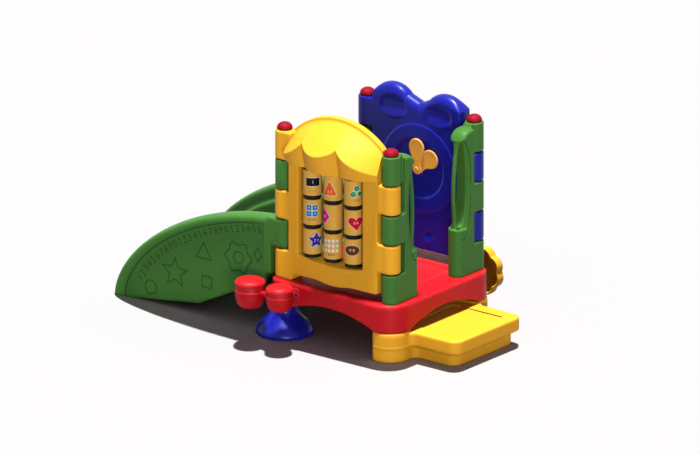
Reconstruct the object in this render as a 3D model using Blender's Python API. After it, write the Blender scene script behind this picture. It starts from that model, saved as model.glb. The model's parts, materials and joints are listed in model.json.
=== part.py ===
# Toddler play structure: a square deck between four steel posts, a slide, a low step,
# a number panel with spinning barrels, a clock panel, bongo drums and a flower wheel.
# Metres, +Z up, +X towards the step, +Y towards the clock panel.
# Heights below are measured from the top of the deck; the finished model is moved so
# that its origin is the centre of its box, on the floor.

import math

import bmesh
import bpy
from mathutils import Matrix, Vector

# Posts and the knuckles stacked on them
POST_SPACING = 0.686
LEVEL_HEIGHT = 0.1585
LEVEL_COUNT = 5
LEVEL_GAP = 0.006
KNUCKLE_RADIUS = 0.0485
KNUCKLE_CLEARANCE = 0.009
PANEL_THICKNESS = 0.093
WEB_STEP = 0.001
TUBE_RADIUS = 0.019
TUBE_WALL = 0.003
SOCKET_DEPTH = 0.100

# Post caps
CAP_RADIUS = 0.0405
CAP_RISE = 0.034
CAP_STEM = 0.030

# Gaps: between faces that touch, and between a round piece and its hole
SEAT_GAP = 0.0003
SLIP = 0.0005

# Deck
DECK_HEIGHT = 0.305
DECK_THICKNESS = 0.152
DECK_OVERHANG = 0.081
DECK_CORNER_RADIUS = 0.127
DECK_EDGE_ROUND = 0.016
DECK_ARCH_WIDTH = 0.590
DECK_ARCH_RISE = 0.067
TREAD_BORDER = 0.076
TREAD_DEPTH = 0.003

# Step unit: two pads under the deck's corners and the step between them
PAD_INSET = 0.003
PAD_CORNER_RADIUS = 0.104
PAD_INNER_RADIUS = 0.040
STEP_HEIGHT = 0.146
STEP_WIDTH = 0.554
STEP_REACH = 0.288
STEP_CORNER_RADIUS = 0.056
STEP_FILLET_RADIUS = 0.038
STEP_UNDERCUT = 0.030
STEP_LOWER_BAND = 0.058
STEP_CHAMFER_HEIGHT = 0.018
STEP_EDGE_ROUND = 0.006
STEP_TREAD_BORDER = 0.066
STEP_TREAD_HALF_WIDTH = 0.190

# Bell feet
FOOT_BASE_RADIUS = 0.148
FOOT_NECK_RADIUS = 0.067
FOOT_RIM_SHARE = 0.06
FOOT_BELL_SHARE = 0.84

# Number panel, its window and its scalloped roof
PANEL_LIFT = 0.040
PANEL_BELLY = 0.013
PANEL_BELLY_WIDTH = 0.230
PANEL_FOOT_WIDTH = 0.022
PANEL_FOOT_ARCH = 0.030
WINDOW_WIDTH = 0.415
WINDOW_CENTRE = -0.015
WINDOW_BOTTOM = 0.155
WINDOW_TOP = 0.640
WINDOW_CORNER = 0.012
ROOF_BASE = 0.650
ROOF_PEAK = 0.914
ROOF_ARCH_RADIUS = 0.417
ROOF_END_MARGIN = 0.0015
ROOF_LIP_DEPTH = 0.038
ROOF_LIP_HEIGHT = 0.020
ROOF_LIP_ROUND = 0.010
ROOF_PITCH = 0.72
ROOF_END_REACH = 0.070
ROOF_BOW = 0.070
ROOF_LOBE_DEPTH = 0.045
ROOF_CUSP = 0.405
ROOF_CUSP_RISE = 0.016
ROOF_TUCK = 0.80
ROOF_STATIONS = 30

# Number barrels on three rods
BARREL_RADIUS = 0.050
BARREL_EDGE = 0.004
BARREL_COLUMNS = 3
BARREL_ROWS = 3
COLUMN_PITCH = 0.132
COLUMN_CENTRE = -0.017
ROW_GAP = 0.022
SILL_SPACER = 0.020
TOP_SPACER = 0.016
BARREL_FORWARD = 0.018
ROD_RADIUS = 0.006
ROD_SEAT = 0.020
SPACER_RADIUS = 0.044
SPIN_GAP = 0.0006

# Clock panel
CLOCK_LIFT = 0.047
EAR_RADIUS = 0.142
EAR_CENTRE_X = 0.168
EAR_CENTRE_Z = 0.752
CLOCK_RIM = 0.022
EAR_VALLEY = 0.813
EAR_BLEND = 0.012
EAR_STATIONS = 34
EAR_DISH_WIDTH = 0.170
EAR_DISH_HEIGHT = 0.150
EAR_DISH_DEPTH = 0.022
EAR_DISH_X = 0.157
EAR_DISH_Z = 0.777
DIAL_X = 0.024
DIAL_Z = 0.481
DIAL_RADIUS = 0.238
DIAL_BAND = 0.076
DIAL_PROUD = 0.008
HAND_THICKNESS = 0.010
HAND_HUB_RADIUS = 0.028
MINUTE_LENGTH = 0.162
MINUTE_HALF_WIDTH = 0.047
MINUTE_ANGLE = -2.0
HOUR_LENGTH = 0.147
HOUR_HALF_WIDTH = 0.050
HOUR_ANGLE = 50.0
HAND_WAIST = 0.024
PIN_RADIUS = 0.007
PIN_HEAD_RADIUS = 0.014
PIN_HEAD_HEIGHT = 0.005
PIN_DEPTH = 0.040

# Entry panels with a tall handhold between a bar and the panel
ENTRY_REACH = 0.186
ENTRY_DROP = 0.0155
ENTRY_SHOULDER = 0.240
ENTRY_SHOULDER_LIP = 0.014
ENTRY_SHRINK = 0.0008
HOOD_REACH = 0.160
HOOD_CORNER = 0.080
HOOD_ROUND = 0.018
HINGE_HALF = 0.026
HANDHOLD_CENTRE = 0.132
HANDHOLD_CENTRE_Z = 0.478
HANDHOLD_HALF_WIDTH = 0.046
HANDHOLD_HALF_HEIGHT = 0.232
BAR_MIDDLE = 0.172
BAR_FOOT = 0.160
BAR_HEAD = 0.139
BAR_RADIUS = 0.012
BAR_END_RADIUS = 0.018

# Slide
SLIDE_REACH = 1.041
SLIDE_WALL_TOP = 0.315
SLIDE_CURVE_POWER = 1.79
SLIDE_CURVE_START = 0.023
SLIDE_FLARE_DEGREES = 1.27
SLIDE_KNEE_X = 0.526
SLIDE_KNEE_LIFT = 0.054
SLIDE_HIP_X = 0.277
SLIDE_HIP_DROP = 0.130
SLIDE_ROOT_DROP = 0.051
SLIDE_PAD_LENGTH = 0.110
SLIDE_RIM = 0.043
SLIDE_TIP_RIM = 0.062
SLIDE_EDGE_ROUND = 0.030
SLIDE_RECESS_DEPTH = 0.010
SLIDE_LINER = 0.012
SLIDE_LINER_DROP = 0.086
BED_KNEE_THICKNESS = 0.021
BED_CLEARANCE = 0.003
BED_FLAT = 0.048
BED_KNEE_X = 0.560
BED_EXIT_LIFT = 0.020
BED_EXIT_SETBACK = 0.034

# Bongo drums
DRUM_OFFSET = 0.099
DRUM_SPACING = 0.190
DRUM_FIRST_X = -0.426
LARGE_DRUM_RADIUS = 0.079
LARGE_DRUM_BOTTOM = -0.131
SMALL_DRUM_RADIUS = 0.071
SMALL_DRUM_BOTTOM = -0.113
DRUM_RIM_Z = -0.010
DRUM_TAPER = 0.68
HEAD_RISE = 0.030
BRIDGE_Z = -0.049
BRIDGE_SMALL_RADIUS = 0.013
BRIDGE_LARGE_RADIUS = 0.034
FLANGE_WIDTH = 0.100
FLANGE_HEIGHT = 0.060
FLANGE_CORNER = 0.012
FLANGE_THICKNESS = 0.008
ARM_RADIUS = 0.022
BOLT_RADIUS = 0.004
BOLT_HEAD_RADIUS = 0.008
BOLT_HEAD_HEIGHT = 0.005
BOLT_LENGTH = 0.035
BOLT_PITCH = 0.076

# Flower wheel
WHEEL_X = 0.262
WHEEL_Z = -0.071
WHEEL_STANDOFF = 0.059
WHEEL_THICKNESS = 0.050
WHEEL_RADIUS = 0.125
WHEEL_LOBE = 0.0065
WHEEL_LOBES = 8
WHEEL_PHASE = 27.0
WHEEL_WALL = 0.014
WHEEL_FACE = 0.012
WHEEL_EDGE = 0.010
WHEEL_HUB_RADIUS = 0.026
AXLE_RADIUS = 0.009
AXLE_FLANGE_RADIUS = 0.032
AXLE_FLANGE_THICKNESS = 0.006
AXLE_DEPTH = 0.040
WHEEL_SPACER_RADIUS = 0.018
WHEEL_CAP_RADIUS = 0.030
WHEEL_CAP_HEIGHT = 0.012

# Facets
CORNER_STEPS = 6
KNUCKLE_FACETS = 16
CAP_FACETS = 12
BORE_FACETS = 12
BARREL_FACETS = 20
SPACER_FACETS = 12
FOOT_FACETS = 26
DRUM_FACETS = 20
DIAL_FACETS = 32

# Places worked out from the sizes above
HALF = POST_SPACING / 2
FLOOR = -DECK_HEIGHT
DECK_HALF = HALF + DECK_OVERHANG
SKIRT_BOTTOM = -DECK_THICKNESS
PAD_TOP = SKIRT_BOTTOM - SEAT_GAP
POST_TOP = LEVEL_COUNT * LEVEL_HEIGHT
ENTRY_TOP = POST_TOP - ENTRY_DROP
NOTCH = KNUCKLE_RADIUS + KNUCKLE_CLEARANCE
PANEL_EDGE = HALF - NOTCH
PANEL_HALF_THICKNESS = PANEL_THICKNESS / 2
BORE_RADIUS = TUBE_RADIUS + SLIP
POSTS = {
    "left": Vector((-HALF, -HALF)),
    "front": Vector((HALF, -HALF)),
    "right": Vector((HALF, HALF)),
    "back": Vector((-HALF, HALF)),
}
BARREL_Y = -HALF - BARREL_FORWARD
BARREL_SPACE = WINDOW_TOP - TOP_SPACER - WINDOW_BOTTOM - SILL_SPACER
BARREL_HEIGHT = (BARREL_SPACE - (BARREL_ROWS - 1) * ROW_GAP) / BARREL_ROWS
WHEEL_BACK = DECK_HALF + WHEEL_STANDOFF
CLOCK_FACE = HALF - PANEL_HALF_THICKNESS


def clear_scene():
    for item in list(bpy.data.objects):
        bpy.data.objects.remove(item, do_unlink=True)


def linear(channel):
    if channel <= 0.04045:
        return channel / 12.92
    return ((channel + 0.055) / 1.055) ** 2.4


def plastic(name, colour, roughness=0.4, metallic=0.0):
    material = bpy.data.materials.new(name)
    material.use_nodes = True
    shader = material.node_tree.nodes["Principled BSDF"]
    shader.inputs["Base Color"].default_value = [linear(c / 255) for c in colour] + [1.0]
    shader.inputs["Roughness"].default_value = roughness
    shader.inputs["Metallic"].default_value = metallic
    return material


def make_object(name, bm, material=None, smooth=False):
    bmesh.ops.recalc_face_normals(bm, faces=bm.faces)
    mesh = bpy.data.meshes.new(name)
    bm.to_mesh(mesh)
    bm.free()
    item = bpy.data.objects.new(name, mesh)
    bpy.context.scene.collection.objects.link(item)
    if material:
        mesh.materials.append(material)
    if smooth:
        mesh.shade_smooth()
        mesh.set_sharp_from_angle(angle=math.radians(40))
    return item


def placed(point, across, axis):
    """A 2-D point and a distance along an axis, as a point in space."""
    u, v = point
    if axis == "X":
        return Vector((across, u, v))
    if axis == "Y":
        return Vector((u, across, v))
    return Vector((u, v, across))


def rounded(corners, steps=CORNER_STEPS):
    """An outline whose corners (x, y, radius) are turned into arcs."""
    points = []
    count = len(corners)
    for index, (x, y, radius) in enumerate(corners):
        here = Vector((x, y))
        if radius <= 0:
            points.append(here)
            continue
        before = Vector(corners[index - 1][:2])
        after = Vector(corners[(index + 1) % count][:2])
        back = (before - here).normalized()
        forward = (after - here).normalized()
        half_angle = back.angle(forward) / 2
        reach = radius / math.tan(half_angle)
        centre = here + (back + forward).normalized() * radius / math.sin(half_angle)
        first = here + back * reach - centre
        sweep = first.angle_signed(here + forward * reach - centre)
        for step in range(steps + 1):
            turned = Matrix.Rotation(-sweep * step / steps, 2) @ first
            points.append(centre + turned)
    return points


def inset_outline(outline, inset):
    """An anticlockwise outline with every side moved inwards."""
    points = []
    count = len(outline)
    for index, here in enumerate(outline):
        before = (here - outline[index - 1]).normalized()
        after = (outline[(index + 1) % count] - here).normalized()
        inward = Vector((-before.y - after.y, before.x + after.x)).normalized()
        scale = max(inward.dot(Vector((-before.y, before.x))), 0.4)
        points.append(here + inward * inset / scale)
    return points


def stack(name, rings, material=None, smooth=False):
    """A closed solid through rings of points, each with as many points as the next."""
    bm = bmesh.new()
    loops = []
    for ring in rings:
        loops.append([bm.verts.new(point) for point in ring])
    for lower, upper in zip(loops, loops[1:]):
        count = len(lower)
        for index in range(count):
            after = (index + 1) % count
            bm.faces.new((lower[index], lower[after], upper[after], upper[index]))
    bm.faces.new(loops[0])
    bm.faces.new(loops[-1])
    return make_object(name, bm, material, smooth)


def prism(name, outline, axis, low, high, material=None):
    """A solid with one outline, from low to high along an axis."""
    bm = bmesh.new()
    face = bm.faces.new([bm.verts.new(placed(point, low, axis)) for point in outline])
    grown = bmesh.ops.extrude_face_region(bm, geom=[face])
    moved = [item for item in grown["geom"] if isinstance(item, bmesh.types.BMVert)]
    bmesh.ops.translate(bm, verts=moved, vec=placed((0, 0), high - low, axis))
    return make_object(name, bm, material)


def box(name, low, high, material=None):
    outline = [(low[0], low[1]), (high[0], low[1]), (high[0], high[1]), (low[0], high[1])]
    return prism(name, outline, "Z", low[2], high[2], material)


def turned(name, profile, facets, axis="Z", closed=False, material=None):
    """A solid of revolution. Its profile is (radius, distance) pairs; an open profile
    starts and ends on the axis, a closed one goes round a bore."""
    bm = bmesh.new()
    loops = []
    for radius, along in profile:
        if radius < 1e-9:
            loops.append([bm.verts.new(placed((0, 0), along, axis))])
            continue
        ring = []
        for step in range(facets):
            angle = math.tau * step / facets
            point = (radius * math.cos(angle), radius * math.sin(angle))
            ring.append(bm.verts.new(placed(point, along, axis)))
        loops.append(ring)
    pairs = list(zip(loops, loops[1:]))
    if closed:
        pairs.append((loops[-1], loops[0]))
    for lower, upper in pairs:
        for index in range(facets):
            after = (index + 1) % facets
            corners = [lower[index % len(lower)], lower[after % len(lower)],
                       upper[after % len(upper)], upper[index % len(upper)]]
            bm.faces.new(list(dict.fromkeys(corners)))
    return make_object(name, bm, material, smooth=True)


def cylinder(name, radius, low, high, facets, axis="Z", material=None):
    profile = [(0, low), (radius, low), (radius, high), (0, high)]
    return turned(name, profile, facets, axis, material=material)


def ring_outline(radius, facets):
    angles = [math.tau * step / facets for step in range(facets)]
    return [Vector((radius * math.cos(a), radius * math.sin(a))) for a in angles]


def moved(item, offset):
    item.data.transform(Matrix.Translation(offset))
    return item


def turned_about(item, pivot, degrees):
    shift = Matrix.Translation(pivot)
    item.data.transform(shift @ Matrix.Rotation(math.radians(degrees), 4, "Z") @ shift.inverted())
    return item


def combine(base, joined=(), cut=(), smooth=False):
    """Joins solids to the base, cuts others out of it, and removes them from the scene."""
    tools = [(item, "UNION") for item in joined] + [(item, "DIFFERENCE") for item in cut]
    for tool, operation in tools:
        modifier = base.modifiers.new(tool.name, "BOOLEAN")
        modifier.operation = operation
        modifier.object = tool
        tool.hide_render = True
        tool.display_type = "WIRE"
    bpy.context.view_layer.update()
    solid = base.evaluated_get(bpy.context.evaluated_depsgraph_get())
    mesh = bpy.data.meshes.new_from_object(solid)
    base.modifiers.clear()
    base.data = mesh
    bm = bmesh.new()
    bm.from_mesh(mesh)
    bmesh.ops.remove_doubles(bm, verts=bm.verts, dist=1e-5)
    bmesh.ops.dissolve_degenerate(bm, edges=bm.edges, dist=1e-5)
    bmesh.ops.dissolve_limit(bm, angle_limit=math.radians(0.05), verts=bm.verts, edges=bm.edges)
    bm.to_mesh(mesh)
    bm.free()
    for tool, _ in tools:
        bpy.data.objects.remove(tool, do_unlink=True)
    mesh.shade_flat()
    if smooth:
        mesh.shade_smooth()
        mesh.set_sharp_from_angle(angle=math.radians(35))
    return base


def level_span(level):
    """Bottom and top of a knuckle; level 1 is the lowest."""
    low = (level - 1) * LEVEL_HEIGHT + LEVEL_GAP / 2
    return (SEAT_GAP if level == 1 else low), level * LEVEL_HEIGHT - LEVEL_GAP / 2


def knuckle(name, post, direction, level, reach, half_web=PANEL_HALF_THICKNESS + WEB_STEP):
    """A knuckle round a post with the web that joins it to a panel in a direction."""
    low, high = level_span(level)
    bend = math.asin(half_web / KNUCKLE_RADIUS)
    heading = math.atan2(direction[1], direction[0])
    outline = []
    for step in range(KNUCKLE_FACETS + 1):
        angle = heading + bend + (math.tau - 2 * bend) * step / KNUCKLE_FACETS
        outline.append(post + KNUCKLE_RADIUS * Vector((math.cos(angle), math.sin(angle))))
    along = Vector(direction).normalized()
    side = Vector((-along.y, along.x)) * half_web
    outline.append(post + along * reach - side)
    outline.append(post + along * reach + side)
    return prism(name, outline, "Z", low, high)


def collar_ring(name, post, level, material):
    low, high = level_span(level)
    profile = [(BORE_RADIUS, low), (KNUCKLE_RADIUS, low), (KNUCKLE_RADIUS, high), (BORE_RADIUS, high)]
    item = turned(name, profile, KNUCKLE_FACETS, closed=True, material=material)
    item.location = (post.x, post.y, 0)
    return item


def post_bore(post, low=-0.01, high=POST_TOP + 0.01):
    item = cylinder("bore", BORE_RADIUS, low, high, BORE_FACETS)
    return moved(item, (post.x, post.y, 0))


def make_deck(material):
    def outline(inset):
        half = DECK_HALF - inset
        radius = DECK_CORNER_RADIUS - inset
        corners = [(-half, -half), (half, -half), (half, half), (-half, half)]
        corners = [(u, v, radius) for u, v in corners]
        return rounded(corners)

    rings = [[placed(p, SKIRT_BOTTOM, "Z") for p in outline(0)]]
    for step in range(4):
        angle = math.radians(30 * step)
        inset = DECK_EDGE_ROUND * (1 - math.cos(angle))
        height = DECK_EDGE_ROUND * (math.sin(angle) - 1)
        rings.append([placed(p, height, "Z") for p in outline(inset)])
    deck = stack("deck", rings, material)
    radius = (DECK_ARCH_WIDTH ** 2 / 4 + DECK_ARCH_RISE ** 2) / (2 * DECK_ARCH_RISE)
    half_angle = math.asin(DECK_ARCH_WIDTH / 2 / radius)
    centre = SKIRT_BOTTOM + DECK_ARCH_RISE - radius
    arch = []
    for step in range(13):
        angle = half_angle * (1 - step / 6)
        arch.append(Vector((radius * math.sin(angle), centre + radius * math.cos(angle))))
    arch.append(Vector((-DECK_ARCH_WIDTH / 2, SKIRT_BOTTOM - 0.02)))
    arch.append(Vector((DECK_ARCH_WIDTH / 2, SKIRT_BOTTOM - 0.02)))
    past = DECK_HALF + 0.02
    tread = HALF - TREAD_BORDER
    cut = [
        prism("arch", arch, "X", -past, past),
        prism("arch", arch, "Y", -past, past),
        box("tread", (-tread, -tread, -TREAD_DEPTH), (tread, tread, 0.02)),
    ]
    for post in POSTS.values():
        cut.append(post_bore(post, SKIRT_BOTTOM - 0.01, 0.01))
    cut.extend(bolt_holes())
    return combine(deck, cut=cut)


def step_outline(inset, undercut):
    inner = HALF - DECK_OVERHANG + inset
    outer = DECK_HALF - PAD_INSET - inset
    end = DECK_HALF + STEP_REACH - inset - undercut
    side = STEP_WIDTH / 2 - inset - undercut
    big = PAD_CORNER_RADIUS - inset
    fillet = STEP_FILLET_RADIUS
    return rounded([
        (inner, -outer, PAD_INNER_RADIUS), (outer, -outer, big), (outer, -side, fillet),
        (end, -side, STEP_CORNER_RADIUS), (end, side, STEP_CORNER_RADIUS), (outer, side, fillet),
        (outer, outer, big), (inner, outer, PAD_INNER_RADIUS),
    ])


def make_step_unit(material):
    top = FLOOR + STEP_HEIGHT
    band = FLOOR + STEP_LOWER_BAND
    levels = [
        (FLOOR, 0, STEP_UNDERCUT), (band, 0, STEP_UNDERCUT), (band + STEP_CHAMFER_HEIGHT, 0, 0),
        (top - STEP_EDGE_ROUND, 0, 0), (top, STEP_EDGE_ROUND, 0),
    ]
    rings = [[placed(p, z, "Z") for p in step_outline(inset, under)] for z, inset, under in levels]
    unit = stack("step_unit", rings, material)
    low = HALF - DECK_OVERHANG + WEB_STEP
    high = DECK_HALF - PAD_INSET - WEB_STEP
    pads = []
    for side in (-1, 1):
        pad = rounded([
            (low, side * low, PAD_INNER_RADIUS), (high, side * low, PAD_INNER_RADIUS),
            (high, side * high, PAD_CORNER_RADIUS), (low, side * high, PAD_INNER_RADIUS),
        ])
        pads.append(prism("pad", pad, "Z", top - 0.03, PAD_TOP))
    cut = []
    for name in ("front", "right"):
        cut.append(post_bore(POSTS[name], PAD_TOP - SOCKET_DEPTH, PAD_TOP + 0.01))
    border = STEP_TREAD_BORDER
    end = DECK_HALF + STEP_REACH - border
    half = STEP_TREAD_HALF_WIDTH
    cut.append(box("tread", (low + border, -half, top - TREAD_DEPTH), (end, half, top + 0.005)))
    return combine(unit, pads, cut)


def make_foot(name, post, material):
    height = PAD_TOP - FLOOR
    profile = [(0, FLOOR), (FOOT_BASE_RADIUS - 0.004, FLOOR)]
    steps = 8
    for step in range(steps + 1):
        share = step / steps
        bell = (1 + math.cos(math.pi * share)) / 2
        radius = FOOT_NECK_RADIUS + (FOOT_BASE_RADIUS - FOOT_NECK_RADIUS) * bell
        profile.append((radius, FLOOR + height * (FOOT_RIM_SHARE + FOOT_BELL_SHARE * share)))
    bottom = PAD_TOP - SOCKET_DEPTH
    profile += [(FOOT_NECK_RADIUS, PAD_TOP), (BORE_RADIUS, PAD_TOP), (BORE_RADIUS, bottom), (0, bottom)]
    item = turned(name, profile, FOOT_FACETS, material=material)
    item.location = (post.x, post.y, 0)
    return item


def make_post(name, post, material):
    low = PAD_TOP - SOCKET_DEPTH + SEAT_GAP
    high = POST_TOP - SEAT_GAP
    inner = TUBE_RADIUS - TUBE_WALL
    profile = [(inner, low), (TUBE_RADIUS, low), (TUBE_RADIUS, high), (inner, high)]
    item = turned(name, profile, BORE_FACETS, closed=True, material=material)
    item.location = (post.x, post.y, 0)
    return item


def make_cap(name, post, material):
    stem = TUBE_RADIUS - TUBE_WALL - 2 * SLIP
    base = POST_TOP + SEAT_GAP
    profile = [(0, base - CAP_STEM), (stem, base - CAP_STEM), (stem, base), (CAP_RADIUS, base)]
    for step in range(1, 5):
        angle = math.radians(22.5 * step)
        profile.append((CAP_RADIUS * math.cos(angle) if step < 4 else 0, base + CAP_RISE * math.sin(angle)))
    item = turned(name, profile, CAP_FACETS, material=material)
    item.location = (post.x, post.y, 0)
    return item


def panel_webs(posts_levels, reach):
    """The knuckles of one panel: (post, direction, levels) for each of its posts."""
    solids = []
    bores = []
    for post, direction, levels in posts_levels:
        for level in levels:
            solids.append(knuckle("knuckle", post, direction, level, reach))
        bores.append(post_bore(post))
    return solids, bores


def roof_lobe(share):
    """1 in the middle of a lobe and 0 at its cusps: one lobe in the middle, one at each side."""
    aside = abs(share)
    if aside < ROOF_CUSP:
        return math.cos(math.pi / 2 * aside / ROOF_CUSP)
    return abs(math.sin(math.pi * (aside - ROOF_CUSP) / (1 - ROOF_CUSP)))


def make_roof():
    half = PANEL_EDGE - ROOF_END_MARGIN
    back = -HALF + PANEL_HALF_THICKNESS - WEB_STEP
    lip = back - ROOF_LIP_DEPTH
    rings = []
    soft = ROOF_LIP_ROUND
    for step in range(ROOF_STATIONS + 1):
        share = 2 * step / ROOF_STATIONS - 1
        x = half * share
        arch = ROOF_PEAK - ROOF_ARCH_RADIUS + math.sqrt(ROOF_ARCH_RADIUS ** 2 - x ** 2)
        lobe = roof_lobe(share)
        reach = ROOF_END_REACH + ROOF_BOW * (1 - share ** 2) + ROOF_LOBE_DEPTH * lobe
        eave = -HALF - reach
        start = arch - ROOF_LIP_HEIGHT
        edge = start - ROOF_PITCH * (lip - eave) + ROOF_CUSP_RISE * (1 - lobe)
        section = [
            (back, ROOF_BASE), (back, arch - soft), (back - soft, arch), (lip + soft, arch),
            (lip, arch - soft), (lip, start), (eave, edge),
            (-HALF - reach * ROOF_TUCK, ROOF_BASE),
        ]
        rings.append([placed(point, x, "X") for point in section])
    return stack("roof", rings)


def make_number_panel(material):
    edge = PANEL_EDGE
    belly = PANEL_BELLY_WIDTH / 2
    foot = -edge + PANEL_FOOT_WIDTH
    body = rounded([
        (-edge, level_span(1)[0] + 0.001, 0), (foot, level_span(1)[0] + 0.001, 0.004),
        (foot, PANEL_LIFT, PANEL_FOOT_ARCH),
        (-belly, PANEL_LIFT, 0.06), (-belly / 3, PANEL_LIFT - PANEL_BELLY, 0.06),
        (belly / 3, PANEL_LIFT - PANEL_BELLY, 0.06), (belly, PANEL_LIFT, 0.06),
        (edge, PANEL_LIFT, 0.008), (edge, ROOF_BASE + 0.05, 0), (-edge, ROOF_BASE + 0.05, 0),
    ], 5)
    low = -HALF - PANEL_HALF_THICKNESS
    high = -HALF + PANEL_HALF_THICKNESS
    panel = prism("number_panel", body, "Y", low, high, material)
    left = (POSTS["left"], (1, 0), (1, 3, 5))
    right = (POSTS["front"], (-1, 0), (2, 4))
    webs, bores = panel_webs([left, right], NOTCH + 0.012)
    window = rounded([
        (WINDOW_CENTRE - WINDOW_WIDTH / 2, WINDOW_BOTTOM, WINDOW_CORNER),
        (WINDOW_CENTRE + WINDOW_WIDTH / 2, WINDOW_BOTTOM, WINDOW_CORNER),
        (WINDOW_CENTRE + WINDOW_WIDTH / 2, WINDOW_TOP, WINDOW_CORNER),
        (WINDOW_CENTRE - WINDOW_WIDTH / 2, WINDOW_TOP, WINDOW_CORNER),
    ], 3)
    cut = bores + [prism("window", window, "Y", low - 0.02, high + 0.02)]
    for column in range(BARREL_COLUMNS):
        hole = cylinder("hole", ROD_RADIUS + SLIP, WINDOW_BOTTOM - ROD_SEAT, WINDOW_TOP + ROD_SEAT, 10)
        cut.append(moved(hole, (column_x(column), BARREL_Y, 0)))
    return combine(panel, webs + [make_roof()], cut)


def column_x(column):
    return COLUMN_CENTRE + COLUMN_PITCH * (column - (BARREL_COLUMNS - 1) / 2)


def barrel_bottom(row):
    return WINDOW_BOTTOM + SILL_SPACER + row * (BARREL_HEIGHT + ROW_GAP)


def make_barrels(material):
    low = SPIN_GAP / 2
    high = BARREL_HEIGHT - SPIN_GAP / 2
    bore = ROD_RADIUS + SLIP
    edge = BARREL_EDGE
    profile = [
        (bore, low), (BARREL_RADIUS - edge, low), (BARREL_RADIUS, low + edge),
        (BARREL_RADIUS, high - edge), (BARREL_RADIUS - edge, high), (bore, high),
    ]
    for column in range(BARREL_COLUMNS):
        for row in range(BARREL_ROWS):
            name = f"barrel_{column + 1}_{row + 1}"
            item = turned(name, profile, BARREL_FACETS, closed=True, material=material)
            item.location = (column_x(column), BARREL_Y, barrel_bottom(row))


def make_spacers(material):
    """Dark discs between the barrels, on the sill and under the window's top."""
    bore = ROD_RADIUS + SLIP
    for column in range(BARREL_COLUMNS):
        low = WINDOW_BOTTOM
        for row in range(BARREL_ROWS + 1):
            high = barrel_bottom(row) if row < BARREL_ROWS else WINDOW_TOP
            bottom = low + SEAT_GAP
            top = high - SEAT_GAP
            profile = [(bore, bottom), (SPACER_RADIUS, bottom), (SPACER_RADIUS, top), (bore, top)]
            name = f"spacer_{column + 1}_{row + 1}"
            item = turned(name, profile, SPACER_FACETS, closed=True, material=material)
            item.location = (column_x(column), BARREL_Y, 0)
            low = high + BARREL_HEIGHT


def make_rods(material):
    for column in range(BARREL_COLUMNS):
        low = WINDOW_BOTTOM - ROD_SEAT + SEAT_GAP
        high = WINDOW_TOP + ROD_SEAT - SEAT_GAP
        item = cylinder(f"barrel_rod_{column + 1}", ROD_RADIUS, low, high, 10, material=material)
        item.location = (column_x(column), BARREL_Y, 0)


def ear_height(x):
    """The clock panel's top: two round ears with a soft valley between them."""
    aside = abs(x) - EAR_CENTRE_X
    ear = EAR_CENTRE_Z + math.sqrt(max(EAR_RADIUS ** 2 - aside ** 2, 0))
    softness = EAR_BLEND
    larger = max(ear, EAR_VALLEY)
    blend = math.exp((ear - larger) / softness) + math.exp((EAR_VALLEY - larger) / softness)
    return larger + softness * (math.log(blend) - math.log(2) * math.exp(-abs(ear - EAR_VALLEY) / softness))


def make_clock_panel(material):
    low = HALF - PANEL_HALF_THICKNESS
    high = HALF + PANEL_HALF_THICKNESS
    outline = [Vector((-PANEL_EDGE, CLOCK_LIFT)), Vector((PANEL_EDGE, CLOCK_LIFT))]
    steps = EAR_STATIONS
    for step in range(steps + 1):
        x = PANEL_EDGE * (1 - 2 * step / steps)
        outline.append(Vector((x, ear_height(x))))
    rings = []
    for along, inset in ((low, 0.9), (low + CLOCK_RIM * 0.4, 0.3), (low + CLOCK_RIM, 0),
                         (high - CLOCK_RIM, 0), (high - CLOCK_RIM * 0.4, 0.3), (high, 0.9)):
        ring = inset_outline(outline, inset * CLOCK_RIM)
        for corner in ring[:2]:
            corner.y = CLOCK_LIFT
        rings.append([placed(p, along, "Y") for p in ring])
    panel = stack("clock_panel", rings, material)
    left = (POSTS["back"], (1, 0), (1, 3, 5))
    right = (POSTS["right"], (-1, 0), (2, 4))
    webs, bores = panel_webs([left, right], NOTCH + 0.012)
    centre = Vector((DIAL_X, DIAL_Z))
    outer = [centre + p for p in ring_outline(DIAL_RADIUS, DIAL_FACETS)]
    inner = [centre + p for p in ring_outline(DIAL_RADIUS - DIAL_BAND, DIAL_FACETS)]
    dial = prism("dial", outer, "Y", low - DIAL_PROUD, low + 0.01)
    combine(dial, cut=[prism("dial_centre", inner, "Y", low - DIAL_PROUD - 0.01, low + 0.02)])
    cut = bores
    for side in (-1, 1):
        bm = bmesh.new()
        bmesh.ops.create_uvsphere(bm, u_segments=16, v_segments=8, radius=0.5)
        size = Matrix.Diagonal((EAR_DISH_WIDTH, EAR_DISH_DEPTH * 2, EAR_DISH_HEIGHT, 1))
        place = Matrix.Translation((side * EAR_DISH_X, low - 0.001, EAR_DISH_Z))
        bmesh.ops.transform(bm, matrix=place @ size, verts=bm.verts)
        cut.append(make_object("ear_dish", bm))
    hole = cylinder("pin_hole", PIN_RADIUS + SLIP, low - 0.02, low + PIN_DEPTH, 12, "Y")
    cut.append(moved(hole, (DIAL_X, 0, DIAL_Z)))
    return combine(panel, webs + [dial], cut)


def hand_half_width(along, length, widest):
    bulb = length - widest
    if along < 0:
        return math.sqrt(max(HAND_HUB_RADIUS ** 2 - along ** 2, 0))
    if along > bulb:
        return widest * math.sqrt(max(1 - ((along - bulb) / widest) ** 2, 0))
    if along < HAND_HUB_RADIUS:
        share = along / HAND_HUB_RADIUS
        return HAND_HUB_RADIUS + (HAND_WAIST - HAND_HUB_RADIUS) * share * share * (3 - 2 * share)
    share = (along - HAND_HUB_RADIUS) / (bulb - HAND_HUB_RADIUS)
    return HAND_WAIST + (widest - HAND_WAIST) * share * share * (3 - 2 * share)


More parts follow.
